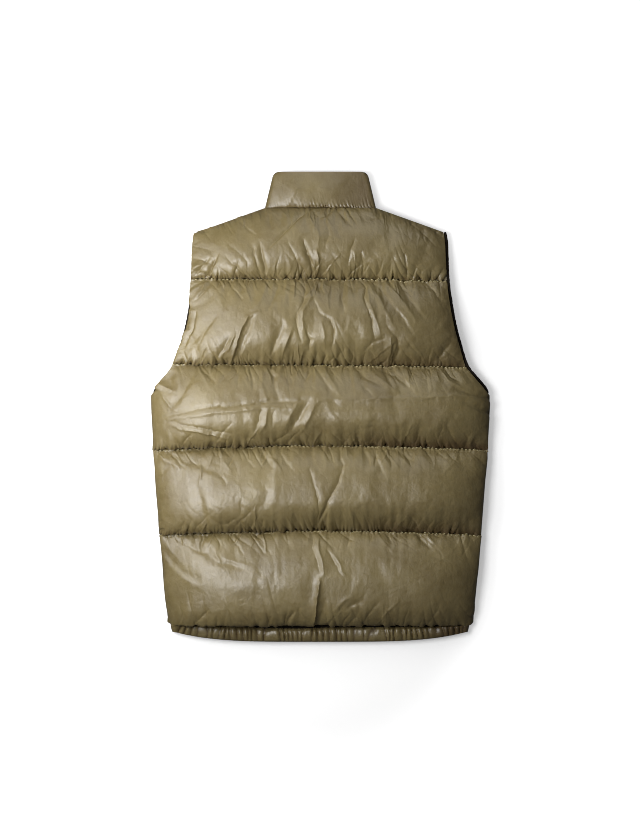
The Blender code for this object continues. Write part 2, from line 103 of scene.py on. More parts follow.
def alongCurve(table, at):  # a smooth curve through the table's points that doesn't overshoot them
    xs, ys = np.array(table).T
    steps = np.diff(ys) / np.diff(xs)
    inner = [2 * a * b / (a + b) if a * b > 0 else 0.0 for a, b in zip(steps, steps[1:])]
    slopes = np.array([steps[0], *inner, steps[-1]])
    at = np.clip(at, xs[0], xs[-1])
    i = np.clip(np.searchsorted(xs, at, side="right") - 1, 0, len(steps) - 1)
    span = xs[i + 1] - xs[i]
    t = (at - xs[i]) / span
    ends = ys[i] * (1 + 2 * t) * (1 - t) ** 2 + ys[i + 1] * t * t * (3 - 2 * t)
    return ends + slopes[i] * span * t * (1 - t) ** 2 - slopes[i + 1] * span * t * t * (1 - t)


def halfWidth(y):
    return alongCurve(outline, y)


def slanted(width, y):  # the width in x of a strip that runs along the side
    slope = (halfWidth(y + 0.002) - halfWidth(y - 0.002)) / 0.004
    return width * np.sqrt(1 + slope * slope)


def panelEdge(y):  # where a panel ends at the side: inside the armhole's binding, or at the side seam
    y = np.minimum(y, vest["shoulderTip"])
    room = slanted(vest["bindingRoom"], y)
    return halfWidth(y) - room * smoothStep(vest["underarm"] - 0.006, vest["underarm"] + 0.004, y)


shoulderHalf = float(panelEdge(vest["shoulderTip"]))


def shoulderLine(x):
    share = (x - vest["neckHalf"]) / (shoulderHalf - vest["neckHalf"])
    return vest["neckSeam"] + share * (vest["shoulderTip"] - vest["neckSeam"])


def neckOpenness(x):
    share = np.minimum(np.abs(x) / vest["neckHalf"], 1.0)
    return np.tanh(vest["foldSharpness"] * np.sqrt(1 - share * share))


def frontNeckline(x):
    share = np.clip((np.abs(x) - vest["zipEdge"]) / (vest["neckHalf"] - vest["zipEdge"]), 0.0, 1.0)
    return vest["neckSeam"] - vest["frontScoop"] * np.sqrt(1 - share * share)


def parting(x, y):  # half of the gap between the layers at the armholes and along the hem
    edge = halfWidth(y)
    along = (y - vest["underarm"]) / (vest["shoulderTip"] - vest["underarm"])
    armhole = np.sin(math.pi * np.clip(along, 0.0, 1.0))
    fromEdge = (edge - np.abs(x)) / 0.035
    hem = (1 - smoothStep(vest["hemSeam"], vest["hemSeam"] + 0.05, y)) * (1 - np.minimum(np.abs(x) / edge, 1.0) ** 6)
    return vest["armholeParting"] * armhole * np.exp(-fromEdge * fromEdge) + vest["hemParting"] * hem


def liningLevel(x, y, side):  # side is 1 for the back and -1 for the front
    level = alongCurve(levels, y) - vest["sideDrop"] * np.minimum(np.abs(x) / halfWidth(y), 1.0) ** 4
    level = level + side * (vest["liningGap"] + parting(x, y))
    if side > 0:
        soft = 1 - smoothStep(0.3, 1.3, np.abs(x) / vest["neckHalf"])
        raised = soft + (neckOpenness(x) - soft) * smoothStep(vest["neckSeam"] - 0.02, vest["neckSeam"], y)
        return level + vest["neckRise"] * raised * smoothStep(0.225, vest["neckSeam"], y)
    belowNeck = smoothStep(0.0, 0.11, frontNeckline(x) - y)
    return level - vest["neckSink"] * neckOpenness(x) * (1 - belowNeck)


def rounding(distance, reach):
    share = np.clip(distance / reach, 0.0, 1.0)
    return np.sqrt(np.maximum(1 - (1 - share) ** 2, 0.0))


fullness = {  # how the rows' shape changes over the width, from -1 at the left edge to 1 at the right one
    "climb": 0.15,  # the fullest line climbs a little to the right
    "leftSteeper": 0.85,
    "rightGentler": 0.35,
    "leastRise": 0.42,
}


def puffed(row, t, across=0.0):  # 0 at both seams and 1 at the fullest line
    full = row["fullest"] * (1 + fullness["climb"] * across)
    below = 1 - np.clip(1 - t / full, 0, 1) ** 2
    over = 1 - np.clip((t - full) / (1 - full), 0, 1) ** 2
    change = across * np.where(across < 0, fullness["leftSteeper"], fullness["rightGentler"])
    rise = row["rise"] * np.maximum(1 + change, fullness["leastRise"])
    return np.where(t < full, below**rise, over ** row["fall"])


def noiseField(x, y, size, seed):  # soft random hills about -1 to 1, with a hill every size metres
    table = np.random.default_rng(seed).uniform(-1, 1, (64, 64))
    gx, gy = x / size + 500.0, y / size + 500.0
    ix, iy = np.floor(gx).astype(int), np.floor(gy).astype(int)
    fx, fy = gx - ix, gy - iy
    fx, fy = fx**3 * (fx * (fx * 6 - 15) + 10), fy**3 * (fy * (fy * 6 - 15) + 10)
    a, b = table[ix % 64, iy % 64], table[(ix + 1) % 64, iy % 64]
    c, d = table[ix % 64, (iy + 1) % 64], table[(ix + 1) % 64, (iy + 1) % 64]
    return (a * (1 - fx) + b * fx) * (1 - fy) + (c * (1 - fx) + d * fx) * fy


def noiseLine(x, size, seed):
    return noiseField(x, x * 0, size, seed)


# Each crease: its depth and half width in mm, then the x and y of each of its points, in mm from the middle. A
# negative depth makes a ridge.
creases = {
    "collar": [
        (0.8, 5, -60, 330, -52, 352, -40, 368),
        (-0.7, 5, -48, 326, -36, 346, -20, 366),
        (0.7, 6, -20, 334, 0, 350, 14, 368),
        (-0.6, 6, 18, 332, 34, 352, 44, 368),
    ],
    "yoke": [
        (2.8, 1.8, -23.2, 312, -48.8, 284.8, -68, 265.6, -80.8, 252.8),
        (4.0, 3.0, -93.6, 257.6, -87.2, 238.4, -84, 219.2, -84, 208),
        (2.4, 2.6, -103.2, 251.2, -98.4, 232, -92, 211.2),
        (4.6, 2.4, -24.8, 262.4, -18.4, 244.8, -12, 225.6, -8, 208),
        (-3.2, 2.4, -4, 248, -0.8, 228.8, -5.6, 209.6),
        (4.6, 2.2, -165.6, 235.2, -173.6, 222.4, -180, 208),
        (-5.0, 5, -180, 228, -192.8, 217.6, -205.6, 208),
        (3.4, 2.2, 66.4, 244.8, 69.6, 228.8, 69.6, 208),
        (-2.2, 2.6, 56.8, 241.6, 58.4, 222.4, 55.2, 208),
        (1.6, 3, 12, 292.8, 18.4, 273.6, 8.8, 248),
        (-1.4, 3.4, -4, 289.6, 2.4, 270.4, 0.8, 251.2),
        (1.8, 2.4, 56.8, 267.2, 50.4, 248, 47.2, 228.8),
        (3, 2, 135.2, 240, 138.4, 222.4, 138.4, 206.4),
        (2, 2, 152.8, 222.4, 148, 208),
        (1.4, 2.4, 103.2, 232, 93.6, 209.6),
        (1.2, 2.6, -52, 273.6, -45.6, 254.4, -39.2, 241.6),
        (-1.6, 2.4, -66.4, 232, -72.8, 209.6),
        (1.4, 2, 114.4, 228.8, 111.2, 208),
    ],
    "baffle_1": [
        (-1.6, 1.8, -183.2, 198.4, -196, 184, -205.6, 169.6),
        (1.4, 1.8, -189.6, 198.4, -200.8, 185.6, -208.8, 174.4),
        (2.6, 8, -157.6, 145.6, -180, 123.2, -205.6, 91.2),
        (3.4, 1.9, -194, 150.4, -200, 128, -206, 112, -212, 95),
        (3, 3.6, -143.2, 110.4, -151.2, 94.4, -159.2, 78.4),
        (-3, 2.8, -135.2, 113.6, -144.8, 91.2),
        (3.6, 6, -103.2, 142.4, -112.8, 113.6, -127.2, 78.4),
        (-3.8, 3.2, -93.6, 150.4, -112.8, 142.4, -122.4, 126.4, -128.8, 105.6, -138.4, 80),
        (3.6, 5, -53.6, 129.6, -61.6, 110.4, -72.8, 83.2),
        (-3, 3.6, -44, 123.2, -52, 97.6, -58.4, 78.4),
        (2.4, 1.7, -34.4, 201.6, -23.2, 187.2, -24.8, 166.4, -36, 147.2, -36, 129.6, -28, 104),
        (-1.8, 3.0, -16.8, 196.8, -12, 174.4, -23.2, 152, -24.8, 132.8, -16.8, 107.2),
        (3, 2.6, -20, 121.6, -13.6, 107.2, -15.2, 91.2),
        (2.6, 1.7, -7.2, 168, 0.8, 150.4, 18.4, 137.6, 23.2, 121.6, 21.6, 96),
        (-1.6, 3.2, 5.6, 136, 10.4, 116.8, 8.8, 91.2),
        (2.8, 1.6, 64.8, 201.6, 72.8, 190.4, 69.6, 174.4, 72.8, 161.6, 82.4, 139.2, 87.2, 110.4),
        (-1.8, 3, 77.6, 184, 80.8, 161.6, 92, 139.2, 96.8, 113.6),
        (2.6, 5, 100, 188.8, 114.4, 168, 133.6, 142.4, 149.6, 118.4),
        (-2, 4, 90.4, 184, 108, 152, 122.4, 123.2),
        (2, 4.4, 130.4, 198.4, 144.8, 169.6, 168.8, 140.8),
        (-1.8, 4, 120.8, 193.6, 133.6, 168, 156, 136),
        (2.4, 3, 167.2, 201.6, 181.6, 187.2, 194.4, 169.6),
        (2.6, 3.2, 108, 128, 124, 110.4, 127.2, 94.4, 124, 76.8),
        (-2.8, 3, 114.4, 110.4, 114.4, 91.2, 109.6, 76.8),
        (2.4, 3.2, 74.4, 89.6, 85.6, 102.4, 103.2, 108.8),
        (2, 2.8, 39.2, 97.6, 42.4, 81.6),
        (2.4, 3, 191.2, 76.8, 199.2, 88, 207.2, 97.6),
        (-1.6, 4, -80.8, 196.8, -90.4, 171.2, -103.2, 153.6),
        (1.6, 3.4, -63.2, 196.8, -69.6, 174.4, -80.8, 152),
        (-1.4, 3.4, 21.6, 196.8, 15.2, 177.6, 16.8, 155.2),
        (1.6, 3, 2.4, 196.8, 8.8, 180.8),
        (1.6, 3, 40.8, 193.6, 37.6, 171.2, 40.8, 148.8),
        (1.2, 2.6, -164, 142.4, -183.2, 116.8, -197.6, 88),
    ],
    "baffle_2": [
        (3.4, 7, -221.6, 59.2, -231.2, 43.2, -228, 30.4),
        (3.4, 9, -199.2, 46.4, -215.2, 17.6, -231.2, -1.6),
        (-2.2, 1.8, -252, 41.6, -242.4, 30.4, -232.8, 25.6),
        (-2.4, 1.8, -253.6, 28.8, -247.2, 12.8, -237.6, 1.6, -228, -6.4),
        (2.6, 2.0, -247.2, -16, -218.4, -9, -183.2, -3.2, -141.6, 2.4, -84, 7, -37.6, 9.6, -4, 10.9),
        (-2.4, 2.6, -20, 10.4, 15.2, 10.9, 98.4, 12.2, 175.2, 14.4, 252, 17.6),
        (1.8, 9, 15, 0, 98, 1, 175, 3, 235, 6),
        (-2.2, 3.6, -240.8, -20.8, -208.8, -15.2, -170.4, -10.4, -128.8, -5.6, -80.8, -1.6, -45.6, 0),
        (2.2, 1.6, -244, -24, -228, -25.6, -207.2, -29.8, -170.4, -36.8, -138.4, -43.2),
        (-2.2, 1.8, -237.6, -30.4, -208.8, -36.8, -170.4, -44.2, -144.8, -49.6),
        (4.4, 5.2, -13.6, 8, -26.4, -12.8, -40.8, -36.8),
        (-2.4, 4, -4, 4.8, -15.2, -17.6, -28, -38.4),
        (-1.6, 4, -32.8, 8, -42.4, -11.2, -52, -33.6),
        (2, 3, -106.4, 54.4, -103.2, 27.2),
        (2.4, 4.4, -74.4, 59.2, -69.6, 38.4, -63.2, 14.4),
        (-1.8, 4, -88.8, 56, -87.2, 30.4, -80.8, 11.2),
        (2.2, 3.4, -92, -1.6, -95.2, -20.8, -100, -36.8),
        (-2.2, 3.6, -80.8, -4.8, -84, -27.2, -93.6, -40),
        (2, 3, -71.2, -8, -72.8, -30.4),
        (2.6, 2.6, -119.2, -49.6, -103.2, -51.2, -84, -57.6),
        (-2.6, 5, -173.6, -54.4, -151.2, -52.8, -128.8, -57.6),
        (2.2, 4.4, 60, 62.4, 76, 46.4, 104.8, 32),
        (2.4, 4.4, 95.2, 62.4, 124, 49.6, 143.2, 33.6, 156, 17.6),
        (-1.8, 4, 82.4, 59.2, 104.8, 41.6, 124, 24),
        (2, 4, -7.2, 65.6, 4, 48, 20, 24),
        (-1.6, 4, 7.2, 62.4, 21.6, 40, 34.4, 17.6),
        (1.6, 3, 69.6, 33.6, 87.2, 14.4),
        (2.4, 2.4, 200.8, 62.4, 210.4, 49.6, 224.8, 41.6),
        (-2, 2.4, 194.4, 56, 207.2, 41.6, 226.4, 32),
        (5.5, 4.6, 222, 27, 248, 22, 300, 8),
        (4.8, 4.2, 236, 6, 254, -1, 300, -18),
        (1.6, 3, -127.2, 49.6, -130.4, 30.4),
        (1.6, 2.8, -48.8, 56, -42.4, 36.8),
        (1.8, 2.6, 100, -46.4, 93.6, -59.2),
        (1.6, 2.6, 47.2, -43.2, 37.6, -60.8),
        (1.6, 2.6, 159.2, -40, 151.2, -59.2),
    ],
    "baffle_3": [
        (3.6, 9, -199.2, -86.4, -173.6, -97.6, -144.8, -104),
        (3.2, 9, -189.6, -120, -183.2, -148.8, -176.8, -179.2),
        (-2.6, 6, -253.6, -76.8, -237.6, -86.4, -218.4, -94.4),
        (1.4, 4, -247.2, -70, -224.8, -79, -202.4, -90),
        (-1.6, 1.8, -151.2, -86.4, -146.4, -92.8, -140, -99.2),
        (3, 4, -92, -67.2, -84, -81.6, -72.8, -96),
        (-2, 3.6, -80.8, -72, -69.6, -88, -58.4, -100.8),
        (2, 3.4, -60, -72, -52, -88, -39.2, -100.8),
        (2.0, 1.8, -15.2, -97.6, -7.2, -124, -2.0, -144, -1.6, -166, -5, -188),
        (2.4, 2.4, 15.2, -153.6, 7.2, -166.4, 0.8, -177.6),
        (3.0, 2.4, 34, -68.8, 34.5, -81.6, 39, -91, 35.5, -104, 26, -128, 15, -150, 5, -170.6, -2, -187, -5, -200),
        (2.2, 4, 69.6, -70.4, 77.6, -81.6, 82.4, -92.8),
        (2.2, 4.4, 87.2, -70.4, 95.2, -88, 106.4, -110.4),
        (-1.6, 4, 101.6, -73.6, 111.2, -91.2),
        (2, 4, 125.6, -68.8, 138.4, -78.4, 152.8, -88),
        (1.8, 3, -128.8, -176, -141.6, -184, -157.6, -187.2),
        (1.6, 2.6, -159.2, -107.2, -146.4, -121.6),
        (-1.4, 2.2, -189.6, -88, -188, -107.2, -191.2, -126.4),
        (1.8, 2.8, 181.6, -180.8, 172, -196.8),
        (1.8, 2.8, 111.2, -177.6, 101.6, -196.8),
        (1.6, 2.6, -87.2, -177.6, -93.6, -193.6),
        (1.6, 3, -39.2, -168, -32.8, -187.2),
        (1.2, 2.6, -122.4, -148.8, -125.6, -171.2, -117.6, -176),
    ],
    "baffle_4": [
        (3.4, 3, -172, -193.6, -178.4, -203.2, -184.8, -216),
        (-3, 2.6, -165.6, -196.8, -170.4, -209.6, -176.8, -220.8),
        (3.4, 7, -189.6, -225.6, -173.6, -232, -159.2, -241.6),
        (1.6, 5, -160.8, -246.4, -138.4, -249.6, -120.8, -256),
        (-1.4, 3, -152, -238.4, -130, -247, -112, -252),
        (-1.8, 2, -165.6, -232, -157.6, -244.8),
        (2.2, 3.4, -8.3, -203.2, -10.4, -222.4, -4, -241.6, 0.2, -260.8),
        (-2.6, 2.4, -0.8, -209.6, -1.6, -225.6, 4.8, -244.8, 6.4, -264),
        (-6.5, 3.0, 0.1, -275, -1.5, -292.8, -3.5, -315.2, -8.3, -344),
        (3.6, 5, 10.4, -308.8, 7.2, -328, 0.8, -344),
        (2.6, 4, 45.6, -318.4, 58.4, -312, 69.6, -308.8),
        (2.4, 3.6, 45.6, -344, 53.6, -334.4, 61.6, -328),
        (-1.8, 4, 28, -318.4, 37.6, -308.8, 50.4, -302.4),
        (1.8, 1.8, 10.4, -226.7, 21.6, -243.2, 36, -265.6),
        (-1.6, 2.4, 16.8, -225.6, 29.6, -244.8, 44, -267.2),
        (3.2, 3.4, 152.8, -196.8, 160.8, -206.4, 172, -219.2, 181.6, -225.6),
        (2.6, 2.6, 176.8, -196.8, 183.2, -203.2, 191.2, -206.4),
        (-2.6, 2.8, 165.6, -198.4, 175.2, -209.6, 184.8, -217.6),
        (-1.3, 6, -248.8, -232, -240.8, -244.8, -224.8, -259.2, -205.6, -276.8, -183.2, -286.4),
        (1.6, 7, -244, -225.6, -231.2, -244.8, -212, -262.4, -189.6, -275.2),
        (-1.0, 4, -246, -212, -236, -228, -222, -240),
        (1.8, 2.6, -128.8, -321.6, -116, -334.4, -103.2, -345.6),
        (-1.6, 2.8, -138.4, -323.2, -125.6, -336, -114.4, -347.2),
        (2, 2.8, -37.6, -321.6, -45.6, -336, -52, -348.8),
        (1.8, 2.8, -76, -328, -84, -344),
        (1.6, 3, -32.8, -318.4, -26.4, -334.4),
        (1.6, 3, -96.8, -203.2, -103.2, -219.2),
        (1.6, 3, -58.4, -203.2, -48.8, -219.2),
        (1.6, 3, 50.4, -203.2, 45.6, -222.4),
        (1.6, 3, 108, -203.2, 120.8, -219.2),
        (-1.4, 8, -148, -292.8, -141.6, -308.8, -144.8, -328),
    ],
}


crease = {  # in half widths of the crease, where nothing else is said
    "stray": ((0.0016, 0.024), (0.0008, 0.007)),  # how far the lines stray from their points and how often, in m
    "reach": 4.5,
    "shift": 0.9,  # a crease is a groove, whose right wall stands on its line
    "steepness": 0.35,  # how much steeper the right wall is
    "ends": 0.06,  # the share of the line that is cut off at each end, so that the crease doesn't fade to nothing
}


def creaseRelief(lines, x, y):
    relief = np.zeros_like(x)
    shiftedX, shiftedY = x, y
    for k, (far, size) in enumerate(crease["stray"]):
        shiftedX = shiftedX + far * noiseField(x, y, size, 201 + k)
        shiftedY = shiftedY + far * noiseField(x, y, size, 203 + k)
    x, y = shiftedX, shiftedY
    for height, width, *points in lines:
        points = np.array(points).reshape(-1, 2) / 1000
        reach = crease["reach"] * width / 1000
        low, high = points.min(0) - reach, points.max(0) + reach
        near = (x > low[0]) & (x < high[0]) & (y > low[1]) & (y < high[1])
        if not near.any():
            continue
        px, py = x[near] + crease["shift"] / 1000 * width, y[near]
        lengths = np.linalg.norm(np.diff(points, axis=0), axis=1)
        total = lengths.sum()
        best, along, side, done = np.full(px.shape, 9.0), np.zeros(px.shape), np.ones(px.shape), 0.0
        for a, b, length in zip(points, points[1:], lengths):
            step = (b - a) / length
            s = np.clip((px - a[0]) * step[0] + (py - a[1]) * step[1], 0.0, length)
            dx, dy = px - a[0] - s * step[0], py - a[1] - s * step[1]
            away = np.hypot(dx, dy)
            closer = away < best
            best = np.where(closer, away, best)
            along = np.where(closer, done + s, along)
            side = np.where(closer, (0.8 * dx - 0.6 * dy) / np.maximum(away, 1e-6), side)
            done += length
        share = along / total
        taper = np.sqrt(np.maximum(np.sin(math.pi * (crease["ends"] + (1 - 2 * crease["ends"]) * share)), 0.0))
        spread = width / 1000 * (1.05 - crease["steepness"] * np.tanh(3 * side))
        relief[near] -= height / 1000 * taper * np.exp(-((best / spread) ** np.clip(0.35 + 0.27 * width, 1.1, 2.0)))
    return relief


small = {  # in mm
    "count": 62,
    "fromTop": 0.55,  # the share of them that start at the upper seam
    "ridges": 0.35,  # the share of them that stand up
    "start": (1.5, 7),  # from the seam
    "length": (9, 34),
    "height": (0.6, 2.2),
    "width": (1.2, 2.5),
    "lean": 0.35,
    "calm": 0.72,  # how much shallower they get to the right
}


def smallCreases(name):  # short wrinkles that run out from the two seams of a row, each with its own lean
    rng = np.random.default_rng(70 + rowNames.index(name))
    lines = []
    for _ in range(small["count"]):
        u = rng.uniform(-0.97, 0.97)
        down = rng.random() < small["fromTop"]
        x, y = backPlace(name, np.array([u]), np.array([1.0 if down else 0.0]))
        x, y = float(x[0]) * 1000, float(y[0]) * 1000
        way = -1 if down else 1
        length, start = rng.uniform(*small["length"]), rng.uniform(*small["start"])
        lean = rng.normal(small["lean"], 0.45) + 0.5 * max(abs(u) - 0.8, 0) * 5 * -np.sign(u)
        bend = rng.normal(0, 0.25)
        height = rng.uniform(*small["height"]) * (1 if rng.random() < 1 - small["ridges"] else -1)
        height *= 1 - small["calm"] * max(u, 0.0)
        points = []
        for share in (0.0, 0.5, 1.0):
            far = start + share * length
            points += [x + far * (lean + bend * share), y + way * far]
        lines.append((height, rng.uniform(*small["width"]), *points))
    return lines


# the back's cloth, filled by simulation
cloth = {
    "columns": 150,
    "frames": 26,
    "startShare": 0.60,  # how full the rows are before the filling pushes
    "growth": 0.05,  # spare cloth that buckles into creases
    "pressure": 8.0,
    "bending": 5.0,
    "tension": 40.0,
    "creaseSeed": 0.7,  # share of the creases that the cloth starts with
    "creaseAfter": 0.78,  # share of the creases that is pressed in afterwards
}


def seamLine(low, u):  # bowed as it lies, and a little crooked where the stitching gathers the cloth
    left, middle, right = low
    crooked = 0.0007 * noiseLine(u * 0.26, 0.007, 3) + 0.0006 * noiseLine(u * 0.26, 0.024, 9)
    return middle + (right - left) / 2 * u + ((left + right) / 2 - middle) * u * u + crooked * (1 - u**8)


def shoulderEdge(u):
    x = np.abs(u) * shoulderHalf
    return np.where(x <= vest["neckHalf"], vest["neckSeam"], shoulderLine(x))


def backPlace(name, u, t):  # x and y of the points of a row, for a grid of shares u across and t up
    low = seamLine(rows[name]["low"], u)
    high = shoulderEdge(u) if name == "yoke" else seamLine(rows[rowNames[rowNames.index(name) + 1]]["low"], u)
    y = low + t * (high - low)
    return u * panelEdge(y), y


def backHeight(name, x, y, t, share):
    row = rows[name]
    full = puffed(row, t, x / halfWidth(y)) * rounding(halfWidth(y) - np.abs(x), vest["sideRounding"])
    full = full * (1 - vest["crown"] * (x / halfWidth(y)) ** 2)
    return liningLevel(x, y, 1) + vest["seamThickness"] + share * row["loft"] * full


def gridIndex(shape, first=0):
    return first + np.arange(math.prod(shape)).reshape(shape)


def gridFaces(index):
    return np.stack([index[:-1, :-1], index[:-1, 1:], index[1:, 1:], index[1:, :-1]], -1).reshape(-1, 4)


def simulateBack():
    columns = cloth["columns"]
    u = np.linspace(-1, 1, columns + 1)
    parts, counts = [], []
    lows = [rows[name]["low"][1] for name in rowNames]
    for name, low, high in zip(rowNames, lows, [*lows[1:], vest["neckSeam"]]):
        cells = round((high - low) / (0.54 / columns))
        t = np.linspace(0, 1, cells + 1)
        uu, tt = np.meshgrid(u, t)
        x, y = backPlace(name, uu, tt)
        z = backHeight(name, x, y, tt, cloth["startShare"])
        z = z + cloth["creaseSeed"] * creaseRelief(creases[name], x, y) * np.minimum(np.sin(math.pi * tt) * 2, 1)
        parts.append(np.stack([x, y, z], -1))
        counts.append(cells)
    sheet = np.concatenate([p[:-1] for p in parts[:-1]] + [parts[-1]])
    lines = np.cumsum([0] + counts)
    pinned = np.zeros(sheet.shape[:2], bool)
    pinned[lines] = True
    pinned[:, [0, -1]] = True
    start = sheet.copy()
    start[..., 2] += np.where(pinned, 0.0, np.random.default_rng(4).normal(0, 0.0001, pinned.shape))
    mesh = bpy.data.meshes.new("backSheet")
    mesh.from_pydata(start.reshape(-1, 3).tolist(), [], gridFaces(gridIndex(pinned.shape)).tolist())
    made = bpy.data.objects.new("backSheet", mesh)
    bpy.context.scene.collection.objects.link(made)
    group = made.vertex_groups.new(name="sewn")
    group.add(np.flatnonzero(pinned).tolist(), 1.0, "REPLACE")
    filling = made.modifiers.new("filling", "CLOTH")
    how = filling.settings
    how.quality, how.mass, how.air_damping = 5, 0.15, 2.0
    how.tension_stiffness, how.compression_stiffness = cloth["tension"], 10.0
    how.shear_stiffness, how.bending_stiffness = 8.0, cloth["bending"]
    how.vertex_group_mass, how.pin_stiffness = "sewn", 1.0
    how.use_pressure, how.uniform_pressure_force = True, cloth["pressure"]
    how.shrink_min = how.shrink_max = -cloth["growth"]
    how.effector_weights.gravity = 0.0
    filling.collision_settings.use_collision = False
    filling.point_cache.frame_start, filling.point_cache.frame_end = 1, cloth["frames"]
    for moment in range(1, cloth["frames"] + 1):
        bpy.context.scene.frame_set(moment)
    applyModifier(made, filling)
    filled = np.empty(pinned.size * 3, np.float32)
    made.data.vertices.foreach_get("co", filled)
    filled = filled.reshape(*pinned.shape, 3)
    bpy.data.objects.remove(made)
    bpy.context.scene.frame_set(1)
    moved = filled - sheet
    shares = np.abs(u)[None]
    result = {}
    for k, name in enumerate(rowNames):
        part = moved[lines[k] : lines[k + 1] + 1].astype(float)
        middle = part[:, columns // 8 : -columns // 8, 2].mean(1)
        part[..., 2] -= middle[:, None] * rounding(1 - shares, 0.2)  # the folds alone, without the fullness
        result[name] = part
    return result


def resample(field, t, u):  # a smooth surface through a grid of values, read at shares t and u
    def weights(at, count):
        place = np.clip(at, 0, 1) * (count - 1)
        i = np.clip(np.floor(place).astype(int), 0, count - 2)
        f = place - i
        w = np.stack([-f + 2 * f**2 - f**3, 2 - 5 * f**2 + 3 * f**3, f + 4 * f**2 - 3 * f**3, -(f**2) + f**3], -1) / 2
        picks = np.clip(np.stack([i - 1, i, i + 1, i + 2], -1), 0, count - 1)
        matrix = np.zeros((len(at), count))
        for k in range(4):
            np.add.at(matrix, (np.arange(len(at)), picks[:, k]), w[:, k])
        return matrix

    down, across = weights(t, field.shape[0]), weights(u, field.shape[1])
    return np.stack([down @ field[..., k] @ across.T for k in range(field.shape[2])], -1)


stitch = {"length": 0.0050, "pitch": 0.0068, "thick": 0.0013, "lift": 0.0006}  # in metres

# The short folds where the stitching gathers the cloth. Each set has its seam, then its spacing, length and
# height in metres, the share of it on the lowest row, which hangs free over the band, its slant and its seed.
puckers = (
    ("low", 0.0130, 0.0085, 0.0026, 0.3, 0.0, 11),
    ("low", 0.0068, 0.0050, 0.0013, 0.3, 0.2, 16),
    ("low", 0.0240, 0.0260, 0.0014, 1.0, 0.8, 26),
    ("high", 0.0110, 0.0060, 0.0010, 1.0, 0.0, 31),
    ("high", 0.0290, 0.0240, 0.0010, 1.0, -0.65, 41),
)

seam = {  # in metres
    "lap": 0.0020,  # how far the filled cloth hangs over its lower seam
    "hemLap": 0.0088,
    "lumpSize": 0.042,  # the down lies in soft lumps
    "lumpHeight": 0.0010,
    "weltAway": 0.0024,  # from the seam down to the stitched welt
    "weltHeight": 0.0018,
    "weltWidth": 0.0012,
}


def puckerWave(x, away, size, slant, key):  # 0 in the clefts between the short folds at a seam and 1 on their tops
    lean = (slant + 0.7 * noiseLine(x, 0.05, key + 3)) * away
    phase = (x + lean) / size + 0.6 * noiseLine(x, size * 3, key) + 0.35 * noiseLine(x, size * 1.2, key + 1)
    return np.abs(np.sin(math.pi * phase))


def rowSurface(name, t, u, moved):  # the shell of a back row, with its creases and puckers
    uu, tt = np.meshgrid(u, t)
    x, y = backPlace(name, uu, tt)
    surface = np.stack([x, y, backHeight(name, x, y, tt, 1.0)], -1)
    if moved is not None:
        surface = surface + rows[name]["folds"] * resample(moved, t, (u + 1) / 2)
    x, y = surface[..., 0], surface[..., 1]
    ends = smoothStep(0, 0.035, tt) * smoothStep(0, 0.035, 1 - tt)
    relief = cloth["creaseAfter"] * creaseRelief(creases[name] + smallCreases(name), x, y) * ends
    length = (y[-1] - y[0])[None] / (t[-1] - t[0])
    fromLow, fromHigh = tt * length, (1 - tt) * length
    level = rowNames.index(name)
    relief += seam["lumpHeight"] * noiseField(x, y, seam["lumpSize"], 71 + level) * np.sin(math.pi * tt)
    for where, size, reach, height, atHem, slant, seed in puckers:
        away, key = fromLow if where == "low" else fromHigh, seed + level
        height = height * atHem if name == "baffle_4" else height
        sharp = 0.45 + 0.9 * np.exp(-away / 0.004)  # the clefts widen to the seam
        ridges = 2 * puckerWave(x, away, size, slant, key) ** sharp - 1
        strength = 0.15 + 1.1 * np.clip(0.45 + noiseLine(x, 0.021, key + 7), 0, 1)
        reaches = reach * (1 + 0.6 * noiseLine(x, 0.013, key + 11))
        relief += height * ridges * strength * np.exp(-((away / reaches) ** 1.5)) * smoothStep(0, 0.0015, away)
    if name != "yoke":  # the yoke's upper edge isn't quilted
        beads = 0.6 + 0.4 * np.sin(2 * math.pi * (x / stitch["pitch"] + 0.3 * noiseLine(x, 0.02, 61 + level)))
        welt = np.exp(-(((fromHigh - seam["weltAway"]) / seam["weltWidth"]) ** 2))
        relief += seam["weltHeight"] * beads * welt
    surface = surface + relief[..., None] * normalsOf(surface)
    if name == "baffle_4":
        notch = np.exp(-(((x - 0.004) / 0.009) ** 2))  # where the long crease draws the edge up
        lap = seam["hemLap"] * (1 - 0.35 * notch) * np.minimum((1 - np.abs(uu)) / 0.03, 1)
        lap = lap * (1 + 0.05 * noiseLine(x, 0.008, 51 + level))
    else:
        lap = seam["lap"] * (1 + 1.3 * noiseLine(x, 0.0075, 51 + level) + 0.5 * noiseLine(x, 0.03, 52 + level))
    surface[..., 1] -= lap * (1 - np.exp(-fromLow / 0.0016)) * np.exp(-fromLow / 0.020)
    return swollenSides(surface)


def unit(vectors):
    return vectors / np.maximum(np.linalg.norm(vectors, axis=-1, keepdims=True), 1e-9)


def normalsOf(surface):
    return unit(np.cross(np.gradient(surface, axis=1), np.gradient(surface, axis=0)))


def distances(path):  # of a path's points from its start, along it
    return np.concatenate([[0], np.cumsum(np.linalg.norm(np.diff(path, axis=0), axis=1))])


swell = {  # how the filling pushes the shell out over the armhole's binding, in metres
    "left": 0.0092,
    "right": 0.0003,
    "reach": 0.014,
    "bareAt": 0.137,  # where a little of the left binding shows
    "bareHalf": 0.030,
}


